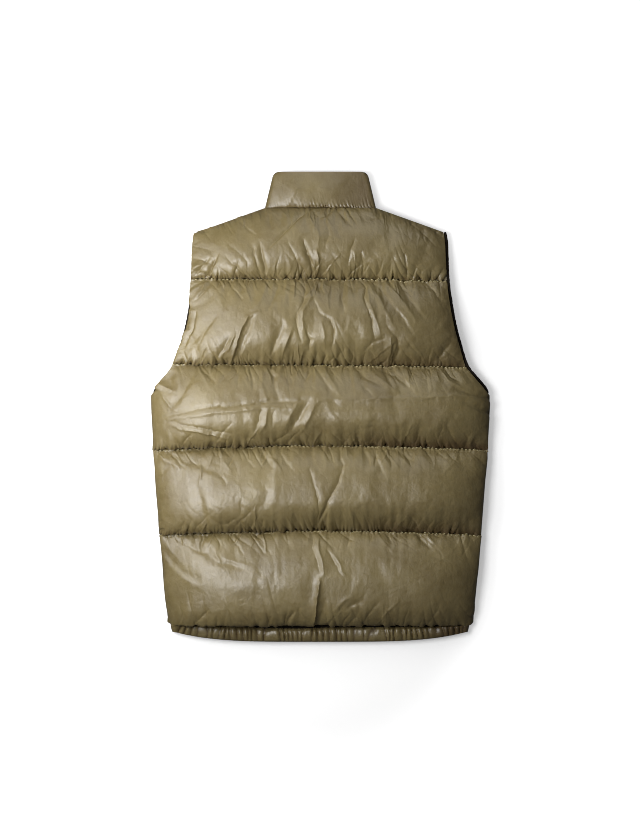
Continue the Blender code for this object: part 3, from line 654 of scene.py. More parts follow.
def swollenSides(surface):
    x, y = surface[..., 0], surface[..., 1]
    inside = np.maximum(panelEdge(y) - np.abs(x), 0.0)
    along = smoothStep(0.024, 0.034, y) * (1 - 0.6 * smoothStep(0.2775, 0.280, y))
    bare = np.exp(-(((y - swell["bareAt"]) / swell["bareHalf"]) ** 2))
    left = swell["left"] * (1 - 0.86 * bare) * (1 + (0.04 + 0.6 * bare) * noiseLine(y, 0.0045, 5))
    push = np.where(x < 0, -left, swell["right"]) * along
    shape = (1 - np.exp(-((inside / 0.0012) ** 1.5))) * np.exp(-((inside / swell["reach"]) ** 2))
    surface[..., 0] += push * shape
    return surface


def closedPiece(name, shell, lining, keep):  # joins a shell and the kept rows of its lining into one closed mesh
    lining = lining[keep]
    shellIndex = gridIndex(shell.shape[:2])
    liningIndex = gridIndex(lining.shape[:2], shellIndex.size)
    faces = gridFaces(shellIndex).tolist() + gridFaces(liningIndex)[:, ::-1].tolist()
    for edge, away in ((0, False), (-1, True)):
        top, foot = shellIndex[edge], liningIndex[edge]
        strip = np.stack([top[:-1], foot[:-1], foot[1:], top[1:]], -1)
        faces += (strip[:, ::-1] if away else strip).tolist()
    for edge, away in ((0, True), (-1, False)):
        for k, (a, b) in enumerate(zip(keep, keep[1:])):
            ring = [*shellIndex[a : b + 1, edge].tolist(), int(liningIndex[k + 1, edge]), int(liningIndex[k, edge])]
            faces.append(ring if not away else ring[::-1])
    points = np.concatenate([shell.reshape(-1, 3), lining.reshape(-1, 3)])
    return meshObject(name, points, faces)


def meshObject(name, points, faces, material=None, sharp=50):
    mesh = bpy.data.meshes.new(name)
    mesh.from_pydata(points.tolist(), [], faces)
    mesh.validate()
    mesh.shade_smooth()
    mesh.set_sharp_from_angle(angle=math.radians(sharp))
    made = bpy.data.objects.new(name, mesh)
    bpy.context.scene.collection.objects.link(made)
    if material:
        mesh.materials.append(material)
    return made


def keptRows(count, parts):
    return sorted({round(k * (count - 1) / parts) for k in range(parts + 1)})


detail = {  # the meshes' rows and columns
    "columns": 500,
    "edgeColumns": 10,
    "rows": 108,
    "frontColumns": 110,
    "frontRows": 52,
}


def acrossShares():  # even over the width, with closer columns at the two sides
    middle = np.linspace(-0.955, 0.955, detail["columns"] + 1)
    edge = 1 - 0.045 * (1 - np.linspace(0, 1, detail["edgeColumns"] + 1)[1:]) ** 1.6
    return np.concatenate([-edge[::-1], middle, edge])


def upShares(count):  # closer together near both seams
    s = np.linspace(0, 1, count + 1)
    return s - 0.6 / (2 * math.pi) * np.sin(2 * math.pi * s)


def markPaintedShade(made, depth):  # the depth is the painted shade for the points of the shell, which come first
    values = np.zeros(len(made.data.vertices))
    values[: depth.size] = depth.ravel()
    made.data.attributes.new("gatheredAndShaded", "FLOAT", "POINT").data.foreach_set("value", values)


shade = {  # how far above a seam the painted shade in its folds reaches, in metres, and how dark the painted shade in the clefts between them is
    "reach": 0.017,
    "cleftReach": 0.0058,
    "clefts": 0.85,
}


def paintedSeamShade(name, x, fromLow):  # painted shade above a seam, in its folds and in the clefts between them, darkest at the right
    reach = shade["reach"] * (1 + 0.35 * noiseLine(x, 0.022, 300))
    wide = rows[name]["gathers"] * smoothStep(0.0, 0.5, x / 0.26) * np.exp(-((fromLow / reach) ** 2))
    if name == "baffle_4":
        return wide
    _, size, _, _, _, slant, seed = puckers[1]
    clefts = 1 - puckerWave(x, fromLow, size, slant, seed + rowNames.index(name))
    clefts = clefts**0.9 * np.exp(-((fromLow / shade["cleftReach"]) ** 2))
    return wide + (1 - wide) * shade["clefts"] * clefts


def finishPadded(made, fill, *nodes):
    made.data.materials.append(nylon)
    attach(made, "vest")
    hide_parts(*nodes)


def makeBackRow(name, moved):
    t, u = upShares(detail["rows"]), acrossShares()
    shell = rowSurface(name, t, u, moved)
    gap = vest["seamGap"] / 2
    shell[0, :, 1] += gap
    shell[-1, :, 1] -= gap
    uu, tt = np.meshgrid(u, t)
    x, y = backPlace(name, uu, tt)
    y = np.clip(y, y[:1] + gap, y[-1:] - gap)
    lining = np.stack([x, y, liningLevel(x, y, 1)], -1)
    made = closedPiece("back" + pieceName(name), shell, lining, keptRows(len(t), 5))
    markPaintedShade(made, paintedSeamShade(name, shell[..., 0], shell[..., 1] - shell[:1, :, 1]))
    finishPadded(made, 0.55, "back_" + name)


def pieceName(name):
    return name[0].upper() + name[1:].replace("_", "")


frontSeams = (-0.3460, -0.2, -0.0655, 0.067, 0.2055)  # y of each front row's lower seam, from the hem up


def frontPlace(name, side, u, t):
    k = rowNames.index(name)
    low = frontSeams[k]
    if k + 1 < len(rowNames):
        high = frontSeams[k + 1]
    else:
        topX = vest["zipEdge"] + u * (shoulderHalf - vest["zipEdge"])
        high = np.where(topX < vest["neckHalf"], frontNeckline(topX), shoulderLine(topX))
    gap = vest["seamGap"] / 2
    y = low + gap + t * (high - low - 2 * gap)
    return side * (vest["zipEdge"] + u * (panelEdge(y) - vest["zipEdge"])), y


def makeFrontRow(name, sideName, side, moved):
    row = rows[name]
    t = upShares(detail["frontRows"])
    u = np.linspace(0, 1, detail["frontColumns"] + 1)
    u = u - 0.12 / (2 * math.pi) * np.sin(2 * math.pi * u)
    uu, tt = np.meshgrid(u, t)
    x, y = frontPlace(name, side, uu, tt)
    level = liningLevel(x, y, -1)
    full = puffed(row, tt) * rounding(halfWidth(y) - np.abs(x), vest["sideRounding"])
    full = full * rounding(np.abs(x) - vest["zipEdge"], vest["zipRounding"])
    shell = np.stack([x, y, level - vest["seamThickness"] - row["frontLoft"] * full], -1)
    if moved is not None:
        shift = resample(moved, t, 0.5 + side * u / 2) * (0.35 * smoothStep(0, 0.1, uu))[..., None]
        shell[..., 0] += shift[..., 0]
        shell[..., 1] += shift[..., 1]
        shell[..., 2] -= shift[..., 2]
    shell[..., 2] = np.maximum(shell[..., 2], 0.0)
    lining = np.stack([x, y, level], -1)
    made = closedPiece(f"front{sideName.capitalize()}{pieceName(name)}", shell, lining, keptRows(len(t), 4))
    faceOutward(made)
    finishPadded(made, 0.45, f"front_{sideName}_{name}")


def selectOnly(made):
    bpy.ops.object.select_all(action="DESELECT")
    made.select_set(True)
    bpy.context.view_layer.objects.active = made


def applyModifier(made, change):
    selectOnly(made)
    bpy.ops.object.modifier_apply(modifier=change.name)


def faceOutward(made):
    selectOnly(made)
    bpy.ops.object.mode_set(mode="EDIT")
    bpy.ops.mesh.select_all(action="SELECT")
    bpy.ops.mesh.normals_make_consistent(inside=False)
    bpy.ops.object.mode_set(mode="OBJECT")


# the stand collar, in metres
collar = {
    "level": 0.0166,
    "spread": 0.0115,
    "loft": 0.0080,
    "thickness": 0.0040,
    "columns": 300,
    "rows": 44,
    "puckerSize": 0.0054,
    "puckerReach": 0.0090,
    "puckerHeight": 0.0013,
    "corner": 0.0070,
    "lumps": 0.0009,
    "fall": 0.0085,  # how far the cloth falls away to the right
    "lap": 0.0021,  # how far the cloth hangs over the neck seam
    "shade": 0.58,  # how dark the painted shade on its right part is
}


def tubeX(turn, half):
    back = half * np.cos(turn)
    front = np.copysign(vest["zipEdge"] + (half - vest["zipEdge"]) * np.abs(np.cos(turn)), np.cos(turn))
    return np.where(np.sin(turn) >= 0, back, front)


def tubeTurn(u):
    return np.radians(-90 + 360 * np.clip(u, 1e-6, 1 - 1e-6))


def collarOutside(u, v):
    turn = tubeTurn(u)
    half = vest["neckHalf"] + v * (vest["collarTopHalf"] - vest["neckHalf"])
    half = half - collar["corner"] * (1 - rounding(1 - v, 0.15))
    y = vest["neckSeam"] + vest["seamGap"] + v * (vest["collarTop"] - vest["neckSeam"] - vest["seamGap"])
    y = y - vest["frontScoop"] * np.maximum(-np.sin(turn), 0.0)
    z = collar["level"] + collar["spread"] * np.tanh(vest["foldSharpness"] * np.sin(turn))
    return np.stack([tubeX(turn, half), y, z], -1)


def outwardOf(surface, u, v, step=0.002):  # across a tube's wall, at right angles to y
    around = surface(np.minimum(u + step, 1.0), v) - surface(np.maximum(u - step, 0.0), v)
    return unit(np.stack([around[..., 2], np.zeros_like(u), -around[..., 0]], -1))


def finishTube(name, outer, inner, parts, depth, fill, *nodes):  # a cloth tube, pressed flat where it lies
    for wall in (outer, inner):
        wall[..., 2] = np.maximum(wall[..., 2], 0.0)
    made = closedPiece(name, outer, inner, keptRows(len(outer), parts))
    markPaintedShade(made, depth)
    faceOutward(made)
    finishPadded(made, fill, *nodes)


def makeCollar():
    u = np.linspace(0, 1, collar["columns"] + 1)
    v = upShares(collar["rows"])
    uu, vv = np.meshgrid(u, v)
    base = collarOutside(uu, vv)
    out = outwardOf(collarOutside, uu, vv)
    across = np.sin(tubeTurn(uu))
    edge = np.where(across < 0, np.abs(base[..., 0]), 1.0)
    full = np.sin(math.pi * vv**0.5) * across**2 * rounding(edge - vest["zipEdge"], vest["zipRounding"])
    x, y = base[..., 0], base[..., 1]
    isBack = np.clip(across * 2, 0, 1)
    fromSeam = vv * (vest["collarTop"] - vest["neckSeam"])
    gatheredAndShaded = 0.25 + 0.75 * smoothStep(-0.045, -0.025, x)
    phase = (x + 0.35 * fromSeam) / collar["puckerSize"] + 0.5 * noiseLine(x, 0.016, 71)
    ridges = 2 * np.abs(np.sin(math.pi * phase)) ** 0.7 - 1
    reach = collar["puckerReach"] * (1 + 0.5 * noiseLine(x, 0.012, 72))
    relief = collar["puckerHeight"] * gatheredAndShaded * ridges * np.exp(-((fromSeam / reach) ** 2))
    relief = relief * smoothStep(0, 0.0012, fromSeam)
    soft = noiseField(x * 0.8 + y * 0.6, y * 0.8 - x * 0.6, 0.016, 73) * 0.5
    soft = soft + noiseField(x + y, (y - x) * 0.45, 0.03, 74)
    relief = relief + collar["lumps"] * soft * np.sin(math.pi * vv) + creaseRelief(creases["collar"], x, y) * isBack
    falling = smoothStep(-0.03, 0.12, x) * isBack
    full = full * (1.25 - 0.95 * falling)
    relief = relief + collar["fall"] * (0.25 - falling) * np.sin(math.pi * vv) ** 0.6
    outer = base + out * (collar["loft"] / 2 * full * 1.1 + relief * np.abs(across))[..., None]
    lap = collar["lap"] * (1 + 0.8 * noiseLine(x, 0.0055, 75)) * np.sqrt(np.sin(math.pi * np.clip(vv / 0.22, 0, 1)))
    outer[..., 1] -= lap * isBack
    # painted shade: in the clefts of the puckers at the neck seam, and on the collar's right part
    clefts = (1 - np.abs(np.sin(math.pi * phase))) ** 0.8 * gatheredAndShaded
    depth = (0.3 + 0.7 * clefts) * np.exp(-((fromSeam / 0.0075) ** 2)) * isBack
    depth = np.maximum(depth, collar["shade"] * smoothStep(-0.03, 0.09, x) * isBack)
    inner = base - out * (collar["thickness"] + collar["loft"] / 2 * full)[..., None]
    finishTube("standCollar", outer, inner, 8, depth, 0.3, "collar")


# the gathered hem band, in metres
band = {
    "thickness": 0.0030,
    "foldSharpness": 6.0,
    "cornerRise": 0.0160,
    "levels": (0.0072, 0.0120),
    "spread": 0.0050,
    "columns": 900,
    "rows": 20,
    "gather": 0.0105,  # from one gathered fold to the next
    "height": 0.0046,
    "roll": 0.0042,  # the band is a roll, which turns down into the gap
    "sink": 0.0012,
    "shade": 0.8,  # how dark the painted shade on its right end is
}


# x and y of the lower edge of the dark gap between the lowest baffle and the band
hemGap = (
    (-0.236, -0.3500), (-0.190, -0.3520), (-0.104, -0.3555), (-0.036, -0.3570),
    (0.007, -0.3556), (0.042, -0.3550), (0.127, -0.3545), (0.236, -0.3515),
)


def upBand(y):  # the share of the band that is below y
    return np.clip((y - vest["hemBottom"]) / (vest["hemSeam"] - vest["hemBottom"]), 0, 1)


def bandLevel(v):
    return band["levels"][0] + v * (band["levels"][1] - band["levels"][0])


def bandMiddle(u, v):
    turn = tubeTurn(u)
    x = tubeX(turn, vest["bandHalf"] + 0.0034 * smoothStep(0.55, 0.9, v))
    bottom = vest["hemBottom"] + band["cornerRise"] * (np.abs(x) / vest["bandHalf"]) ** 4
    y = bottom + v * (vest["hemSeam"] - vest["seamGap"] - bottom)
    return np.stack([x, y, bandLevel(v) + band["spread"] * np.tanh(band["foldSharpness"] * np.sin(turn))], -1)


def makeHemBand():
    turnShares = np.linspace(0, 1, band["columns"] + 1)
    v = upShares(band["rows"])
    uu, vv = np.meshgrid(turnShares, v)
    base = bandMiddle(uu, vv)
    out = outwardOf(bandMiddle, uu, vv, 0.0008)
    x, across = base[..., 0], np.sin(tubeTurn(uu))
    way = np.where(across < 0, x + 0.7, x)  # the front's folds differ from the back's
    lean = 0.25 * noiseLine(way, 0.02, 82) * (vv - 0.5) * 0.03
    phase = (way + lean) / band["gather"] + 0.8 * noiseLine(way, 0.034, 81)
    phase = phase + 0.45 * noiseField(way, vv * 0.006, 0.013, 83)
    tall = 0.75 + 0.6 * noiseLine(way, 0.011, 84)
    ridges = tall * (2 * np.abs(np.sin(math.pi * phase)) ** 0.7 - 1)  # round folds with narrow clefts between them
    fade = np.sqrt(np.maximum(np.sin(math.pi * (0.1 + 0.45 * vv)), 0))
    relief = band["height"] * (0.62 * ridges + 0.3) * fade
    gapFoot, low = alongCurve(hemGap, x), base[:1, :, 1]
    sunk = smoothStep(0, 0.0035, base[..., 1] - gapFoot)
    upTo = np.clip((base[..., 1] - low) / np.maximum(gapFoot + 0.002 - low, 0.004), 0, 1)
    roll = band["roll"] * np.sin(math.pi * upTo**0.75) ** 0.8
    relief = relief + roll * smoothStep(0.25, 0.75, across)
    relief = relief * (1 - sunk) - band["sink"] * sunk
    relief = np.where(across < 0, relief * 0.25, relief)
    # painted shade in the clefts between the gathered folds and on the band's right end
    depth = 0.9 * (1 - np.abs(np.sin(math.pi * phase))) ** 3 * (1 - sunk)
    depth = np.maximum(depth, band["shade"] * smoothStep(0.14, 0.21, x))
    outer = base + out * (band["thickness"] / 2 + relief)[..., None]
    inner = base - out * (band["thickness"] / 2)
    lengths = ["hem_band_" + length for length in ("back", "side_left", "side_right", "front_left", "front_right")]
    finishTube("gatheredHemBand", outer, inner, 4, depth, 0.2, *lengths)


# a near-black strip of the binding's elastic in the gap above the band: painted shade under the lowest baffle's edge.
# In metres, with its rows' shares up and their heights
hemStrip = {
    "half": 0.233,
    "columns": 500,
    "rows": ((0.0, -0.0006), (0.12, 0.0010), (0.5, 0.0013), (1.0, 0.0010)),
    "thickness": 0.0004,
    "seamRoom": 0.0008,
}


def makeHemGapShade():
    x = np.linspace(-hemStrip["half"], hemStrip["half"], hemStrip["columns"] + 1)
    foot = alongCurve(hemGap, x)
    layers = []
    for share, lift in hemStrip["rows"]:
        y = foot + share * (vest["hemSeam"] - hemStrip["seamRoom"] - foot)
        turn = np.arccos(np.clip(x / vest["bandHalf"], -1, 1))
        middle = bandMiddle((np.degrees(turn) + 90) / 360, upBand(y))
        layers.append(np.stack([x, y, middle[..., 2] + lift], -1))
    top = np.stack(layers)
    under = top[::-1] - [0, 0, hemStrip["thickness"]]
    points = np.concatenate([top, under])
    index = gridIndex(points.shape[:2])
    faces = gridFaces(np.concatenate([index, index[:1]])).tolist()
    faces += [index[:, 0].tolist(), index[::-1, -1].tolist()]
    made = meshObject("hemGapShade", points.reshape(-1, 3), faces, elastic)
    faceOutward(made)
    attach(made, "vest")


# the armhole bindings, in metres
binding = {
    "radius": 0.0027,
    "leftRadius": 0.0017,
    "offset": 0.0027,
    "leftInset": 0.0006,
    "footGap": 0.0006,
    "topGap": {-1: 0.0060, 1: 0.0004},
    "stations": 210,
    "sides": 12,
    "gather": 0.0042,
}


def makeBinding(name, side, node):
    low = vest["underarm"] + binding["footGap"]
    high = vest["shoulderTip"] - binding["offset"] - binding["topGap"][side]
    radius = binding["leftRadius"] if side < 0 else binding["radius"]
    ys = np.linspace(low, high, binding["stations"])

    def edge(y, layer, past=0.0):
        x = halfWidth(y) - slanted(binding["radius"], y)
        x = x - (binding["leftInset"] if side < 0 else 0.0)
        z = alongCurve(levels, y) - vest["sideDrop"] + layer * (parting(x, y) + binding["offset"])
        return np.stack([side * x, y + past, z], -1)

    turn = binding["offset"] / 2
    path = np.concatenate([edge(ys, 1), edge(ys[-1:], 0, turn), edge(ys[::-1], -1), edge(ys[:1], 0, -turn)])
    ahead = unit(np.roll(path, -1, 0) - np.roll(path, 1, 0))
    outward = unit(np.array([side, 0.0, 0.0]) - ahead * (ahead[:, :1] * side))
    upward = np.cross(outward, ahead)
    far = distances(path)
    gathers = 1 - 0.20 * np.abs(noiseLine(far, binding["gather"], 31))
    angles = np.linspace(0, 2 * math.pi, binding["sides"], endpoint=False)
    ring = np.cos(angles)[None, :, None] * outward[:, None] + np.sin(angles)[None, :, None] * upward[:, None]
    points = path[:, None] + radius * gathers[:, None, None] * ring
    index = gridIndex(points.shape[:2])
    after, beside = np.roll(index, -1, 0), np.roll(index, -1, 1)
    faces = np.stack([index, after, np.roll(after, -1, 1), beside], -1).reshape(-1, 4)
    made = meshObject(name, points.reshape(-1, 3), faces.tolist(), elastic, 80)
    faceOutward(made)
    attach(made, "vest")
    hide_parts(node)


def makeStitches(name, path):
    bpy.ops.object.select_all(action="DESELECT")
    bpy.ops.mesh.primitive_ico_sphere_add(subdivisions=1, radius=0.5)
    first = bpy.context.object
    shape = np.array([v.co for v in first.data.vertices])
    shapeFaces = np.array([tuple(p.vertices) for p in first.data.polygons])
    bpy.data.objects.remove(first)
    shape = shape * [stitch["length"], stitch["thick"], stitch["thick"]]
    far = distances(path)
    at = np.arange(stitch["pitch"] / 2, far[-1], stitch["pitch"])
    centres = np.stack([np.interp(at, far, path[:, k]) for k in range(3)], -1)
    ends = np.stack([np.interp(at + 0.001, far, path[:, k]) for k in range(3)], -1)
    ahead = ends - centres
    ahead[-1] = ahead[-2]
    ahead = unit(ahead)
    beside = np.cross([0.0, 0.0, 1.0], ahead)
    above = np.cross(ahead, beside)
    points = (
        centres[:, None]
        + shape[None, :, :1] * ahead[:, None]
        + shape[None, :, 1:2] * beside[:, None]
        + shape[None, :, 2:] * above[:, None]
    )
    faces = (np.arange(len(at))[:, None, None] * len(shape) + shapeFaces[None]).reshape(-1, 3)
    made = meshObject(name, points.reshape(-1, 3), faces.tolist(), thread, 90)
    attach(made, "vest")


# the zip, in metres
zipper = {
    "top": 0.2990,
    "chainTop": 0.2950,
    "boxLength": 0.0100,
    "boxWidth": 0.0090,
    "boxThickness": 0.0036,
    "chainHalf": 0.0030,
    "chainThickness": 0.0026,
    "pitch": 0.0026,
    "sliderLength": 0.0130,
    "sliderWidth": 0.0100,
    "plate": 0.0013,
    "slot": 0.0032,
    "bridgeClearance": 0.0022,
    "bridgeThickness": 0.0014,
    "bridge": (0.0020, 0.0088),  # width and length
    "leg": (0.0019, 0.0016),
    "legAway": 0.0036,  # from the bridge's middle to a leg's
    "postWidth": 0.0036,
    "sunk": 0.0006,  # how far the legs reach into the plate
    "pullWidth": 0.0064,
    "pullLength": 0.0270,
    "pullThickness": 0.0012,
    "eyeWidth": 0.0034,
    "eyeLength": 0.0075,
    "pullBar": 0.0011,
    "boxGrooves": (3, 0.0022),  # how many and how far apart
    "pullGrooves": (4, 0.0019),
}


def zipLevel(y):  # the height of the zip's middle plane
    neckline = vest["neckSeam"] - vest["frontScoop"]
    atCollar = collar["level"] - collar["spread"] * math.tanh(vest["foldSharpness"]) + collar["thickness"] / 2
    onBody = liningLevel(y * 0 + vest["zipEdge"], y, -1) - vest["seamThickness"] / 2
    above = smoothStep(neckline - 0.030, neckline, y)
    below = 1 - smoothStep(vest["hemSeam"], vest["hemSeam"] + 0.030, y)
    atBand = bandLevel(upBand(y)) - band["spread"]
    level = onBody * (1 - above - below) + atCollar * above + atBand * below
    return np.where(y >= neckline, atCollar, level)


def addBlock(name, size, centre, bevel=0.0002):
    bpy.ops.object.select_all(action="DESELECT")
    bpy.ops.mesh.primitive_cube_add(size=1)
    made = bpy.context.object
    made.name = name
    bpy.ops.object.mode_set(mode="EDIT")
    bpy.ops.mesh.select_all(action="SELECT")
    bpy.ops.transform.resize(value=size)
    bpy.ops.transform.translate(value=centre)
    if bevel:
        bpy.ops.mesh.bevel(offset=bevel, segments=2)
    bpy.ops.object.mode_set(mode="OBJECT")
    return made


def combine(first, second, how):
    change = first.modifiers.new("shape", "BOOLEAN")
    change.operation, change.object, change.solver = how, second, "EXACT"
    applyModifier(first, change)
    bpy.data.objects.remove(second)


def finishHard(made, node, body, material):
    made.data.materials.clear()
    made.data.materials.append(material)
    made.data.shade_smooth()
    made.data.set_sharp_from_angle(angle=math.radians(35))
    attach(made, body)
    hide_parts(node)


def makeTeeth():
    pitch, half = zipper["pitch"], zipper["chainHalf"]
    low = vest["hemBottom"] + zipper["boxLength"] + 0.0004
    count = int((zipper["chainTop"] - low) / pitch) - 1
    size = (half + 0.0004, pitch * 0.46, zipper["chainThickness"])
    made = addBlock("zipTeeth", size, (0.0002 - half / 2, low + pitch * 0.25, 0), 0.00028)
    for way, number in (((0, pitch, 0), count), ((half - 0.0004, pitch / 2, 0), 2)):
        repeat = made.modifiers.new("repeat", "ARRAY")
        repeat.use_relative_offset, repeat.use_constant_offset = False, True
        repeat.constant_offset_displace, repeat.count = way, number
        applyModifier(made, repeat)
    points = np.array([v.co for v in made.data.vertices])
    points[:, 2] += zipLevel(points[:, 1])
    made.data.vertices.foreach_set("co", points.ravel())
    made.data.update()
    finishHard(made, "zip_chain", "vest", teeth)


def makeZipBox():
    y = vest["hemBottom"] + zipper["boxLength"] / 2
    level = float(zipLevel(np.array(y)))
    size = (zipper["boxWidth"], zipper["boxLength"], zipper["boxThickness"])
    made = addBlock("zipBox", size, (0, y, level), 0.0006)
    count, pitch = zipper["boxGrooves"]
    for k in range(count):
        groove = addBlock("groove", (0.0060, 0.0006, 0.0008), (0, y + (k - 1) * pitch, level - size[2] / 2), 0)
        combine(made, groove, "DIFFERENCE")
    finishHard(made, "zip_box", "vest", metal)


def sliderPlace():  # the slider's middle, as y and z
    y = zipper["top"] - zipper["sliderLength"] / 2
    return y, float(zipLevel(np.array(y)))


def makeSlider():
    y, level = sliderPlace()
    size = (zipper["sliderWidth"], zipper["sliderLength"], zipper["plate"])
    away = (zipper["slot"] + zipper["plate"]) / 2
    made = addBlock("zipSlider", size, (0, y, level - away), 0.0004)
    combine(made, addBlock("plate", size, (0, y, level + away), 0.0004), "UNION")
    post = zipper["top"] - zipper["chainTop"] - 0.0004
    place = (0, zipper["top"] - post / 2 - 0.0001, level)
    combine(made, addBlock("post", (zipper["postWidth"], post, zipper["slot"] + 0.001), place, 0.0003), "UNION")
    outer = level - zipper["slot"] / 2 - zipper["plate"]
    bar = outer - zipper["bridgeClearance"] - zipper["bridgeThickness"] / 2
    combine(made, addBlock("bridge", (*zipper["bridge"], zipper["bridgeThickness"]), (0, y, bar), 0.0004), "UNION")
    legTop = outer + zipper["sunk"]
    for end in (-1, 1):
        place = (0, y + end * zipper["legAway"], (legTop + bar) / 2)
        combine(made, addBlock("leg", (*zipper["leg"], legTop - bar), place, 0.0002), "UNION")
    finishHard(made, "zip_slider", "vest", metal)


def makePull():
    y, level = sliderPlace()
    z = level - zipper["slot"] / 2 - zipper["plate"] - zipper["bridgeClearance"] / 2
    wide, long, thick = zipper["pullWidth"], zipper["pullLength"], zipper["pullThickness"]
    top, foot = zipper["pullBar"] / 2, wide / 2 - long
    made = addBlock("zipPull", (wide, top - foot, thick), (0, y + (top + foot) / 2, z), 0.00015)
    bpy.ops.object.select_all(action="DESELECT")
    bpy.ops.mesh.primitive_cylinder_add(vertices=48, radius=wide / 2, depth=thick - 0.0001, location=(0, y + foot, z))
    combine(made, bpy.context.object, "UNION")
    eyeLow, eyeHigh = -zipper["eyeLength"] + zipper["pullBar"], -zipper["pullBar"] / 2
    eye = addBlock("eye", (zipper["eyeWidth"], eyeHigh - eyeLow, thick * 3), (0, y + (eyeLow + eyeHigh) / 2, z), 0)
    combine(made, eye, "DIFFERENCE")
    count, pitch = zipper["pullGrooves"]
    for k in range(count):
        place = (0, y + foot + 0.0012 + k * pitch, z - thick / 2)
        combine(made, addBlock("groove", (0.0042, 0.0009, 0.0005), place, 0), "DIFFERENCE")
    finishHard(made, "zip_pull", "pull", metal)


def colour(text):  # an sRGB hex value as linear
    parts = [int(text[k : k + 2], 16) / 255 for k in (0, 2, 4)]
    return (*[c / 12.92 if c <= 0.04045 else ((c + 0.055) / 1.055) ** 2.4 for c in parts], 1.0)


def addNode(tree, kind, settings=None, values=None, links=None):
    node = tree.nodes.new("ShaderNode" + kind)
    for key, value in (settings or {}).items():
        setattr(node, key, value)
    for key, value in (values or {}).items():
        node.inputs[key].default_value = value
    for key, source in (links or {}).items():
        tree.links.new(source, node.inputs[key])
    return node


def newMaterial(name, values):
    made = bpy.data.materials.new(name)
    made.use_nodes = True
    shader = made.node_tree.nodes["Principled BSDF"]
    for key, value in values.items():
        shader.inputs[key].default_value = value
    return made, made.node_tree, shader


looks = {
    "nylonDeep": "6a5c3a",
    "nylonLight": "7a6c46",
    "nylonDust": "9c9270",
    # the next colour is the painted shade in folds, clefts and shaded ends
    "nylonPaintedShade": "493822",
    "gloss": (0.38, 0.52),
    "coating": {"Roughness": 0.5, "Specular IOR Level": 0.55, "Coat Weight": 0.32, "Coat Roughness": 0.24},
    "noises": {  # hills for each metre
        "clouds": {"Scale": 14.0, "Detail": 3.0, "Roughness": 0.55},  # 70 mm
        "mottle": {"Scale": 120.0, "Detail": 4.0, "Roughness": 0.6},  # 8 mm
        "wander": {"Scale": 45.0, "Detail": 2.0},
        "facets": {"Scale": 62.0, "Detail": 3.0, "Roughness": 0.55, "Distortion": 0.8},  # 16 mm
        "streaks": {"Scale": 120.0, "Detail": 2.0, "Roughness": 0.5, "Distortion": 1.2},
        "crinkle": {"Scale": 260.0, "Detail": 3.0, "Roughness": 0.5},  # 4 mm
    },
    "crumples": 55.0,  # 18 mm
    "weave": 1250.0 / 6.2832 * 2,  # threads 0.12 mm apart are too fine to show, so they are drawn at 0.8 mm
    "bumps": (  # from the coarsest: the strength and the depth in metres
        ("crumples", 0.12, 0.0009),
        ("facets", 0.24, 0.0030),
        ("streaks", 0.26, 0.0016),
        ("crinkle", 0.22, 0.0006),
        ("weave", 0.15, 0.0001),
    ),
}


def coatedNylon():  # down-proof nylon taffeta with a glossy coating: soft wide highlights, tiny crumples, a fine weave
    made, tree, shader = newMaterial("coatedNylonTaffeta", looks["coating"])
    place = addNode(tree, "TexCoord").outputs["Object"]
    turn = {"Rotation": (0, 0, math.radians(-28)), "Scale": (1.0, 0.38, 1.0)}
    turned = addNode(tree, "Mapping", None, turn, {"Vector": place}).outputs[0]
    marks, colours = {}, {}
    for name, values in looks["noises"].items():
        noise = addNode(tree, "TexNoise", None, values, {"Vector": turned if name == "streaks" else place})
        marks[name], colours[name] = noise.outputs["Fac"], noise.outputs["Color"]

    tone = addNode(tree, "MapRange", None, {1: 0.3, 2: 0.7}, {0: marks["clouds"]}).outputs[0]
    speck = addNode(tree, "MapRange", None, {1: 0.35, 2: 0.65, 3: 0.0, 4: 0.12}, {0: marks["mottle"]}).outputs[0]
    # the painted shade that the pieces carry in their folds, clefts and shaded ends
    folds = addNode(tree, "Attribute", {"attribute_name": "gatheredAndShaded"}).outputs["Fac"]
    mixing = {"data_type": "RGBA"}
    both = {6: colour(looks["nylonDeep"]), 7: colour(looks["nylonLight"])}
    base = addNode(tree, "Mix", mixing, both, {0: tone}).outputs[2]
    for share, dustAndShade in ((speck, "nylonDust"), (folds, "nylonPaintedShade")):
        base = addNode(tree, "Mix", mixing, {7: colour(looks[dustAndShade])}, {0: share, 6: base}).outputs[2]
    tree.links.new(base, shader.inputs["Base Color"])
    low, high = looks["gloss"]
    gloss = addNode(tree, "MapRange", None, {1: 0.3, 2: 0.7, 3: low, 4: high}, {0: marks["mottle"]})
    tree.links.new(gloss.outputs[0], shader.inputs["Roughness"])

    wander = {0: colours["wander"], 2: place}
    shifted = addNode(tree, "VectorMath", {"operation": "MULTIPLY_ADD"}, {1: (0.012, 0.012, 0.012)}, wander)
    cells = {"Vector": shifted.outputs[0]}
    crumple = addNode(tree, "TexVoronoi", {"feature": "DISTANCE_TO_EDGE"}, {"Scale": looks["crumples"]}, cells)
    edges = {0: crumple.outputs["Distance"]}
    soft = {"interpolation_type": "SMOOTHSTEP"}
    marks["crumples"] = addNode(tree, "MapRange", soft, {1: 0.0, 2: 0.22}, edges).outputs[0]
    threads = {}
    for k, way in enumerate("XY"):
        waves = {"Scale": looks["weave"], "Distortion": 0.0}
        threads[k] = addNode(tree, "TexWave", {"bands_direction": way}, waves, {"Vector": place}).outputs["Fac"]
    marks["weave"] = addNode(tree, "Math", {"operation": "MULTIPLY"}, None, threads).outputs[0]
    normal = {}
    for name, strength, depth in looks["bumps"]:
        values = {"Strength": strength, "Distance": depth}
        bump = addNode(tree, "Bump", None, values, {"Height": marks[name], **normal})
        normal = {"Normal": bump.outputs[0]}
    tree.links.new(bump.outputs[0], shader.inputs["Normal"])
    return made


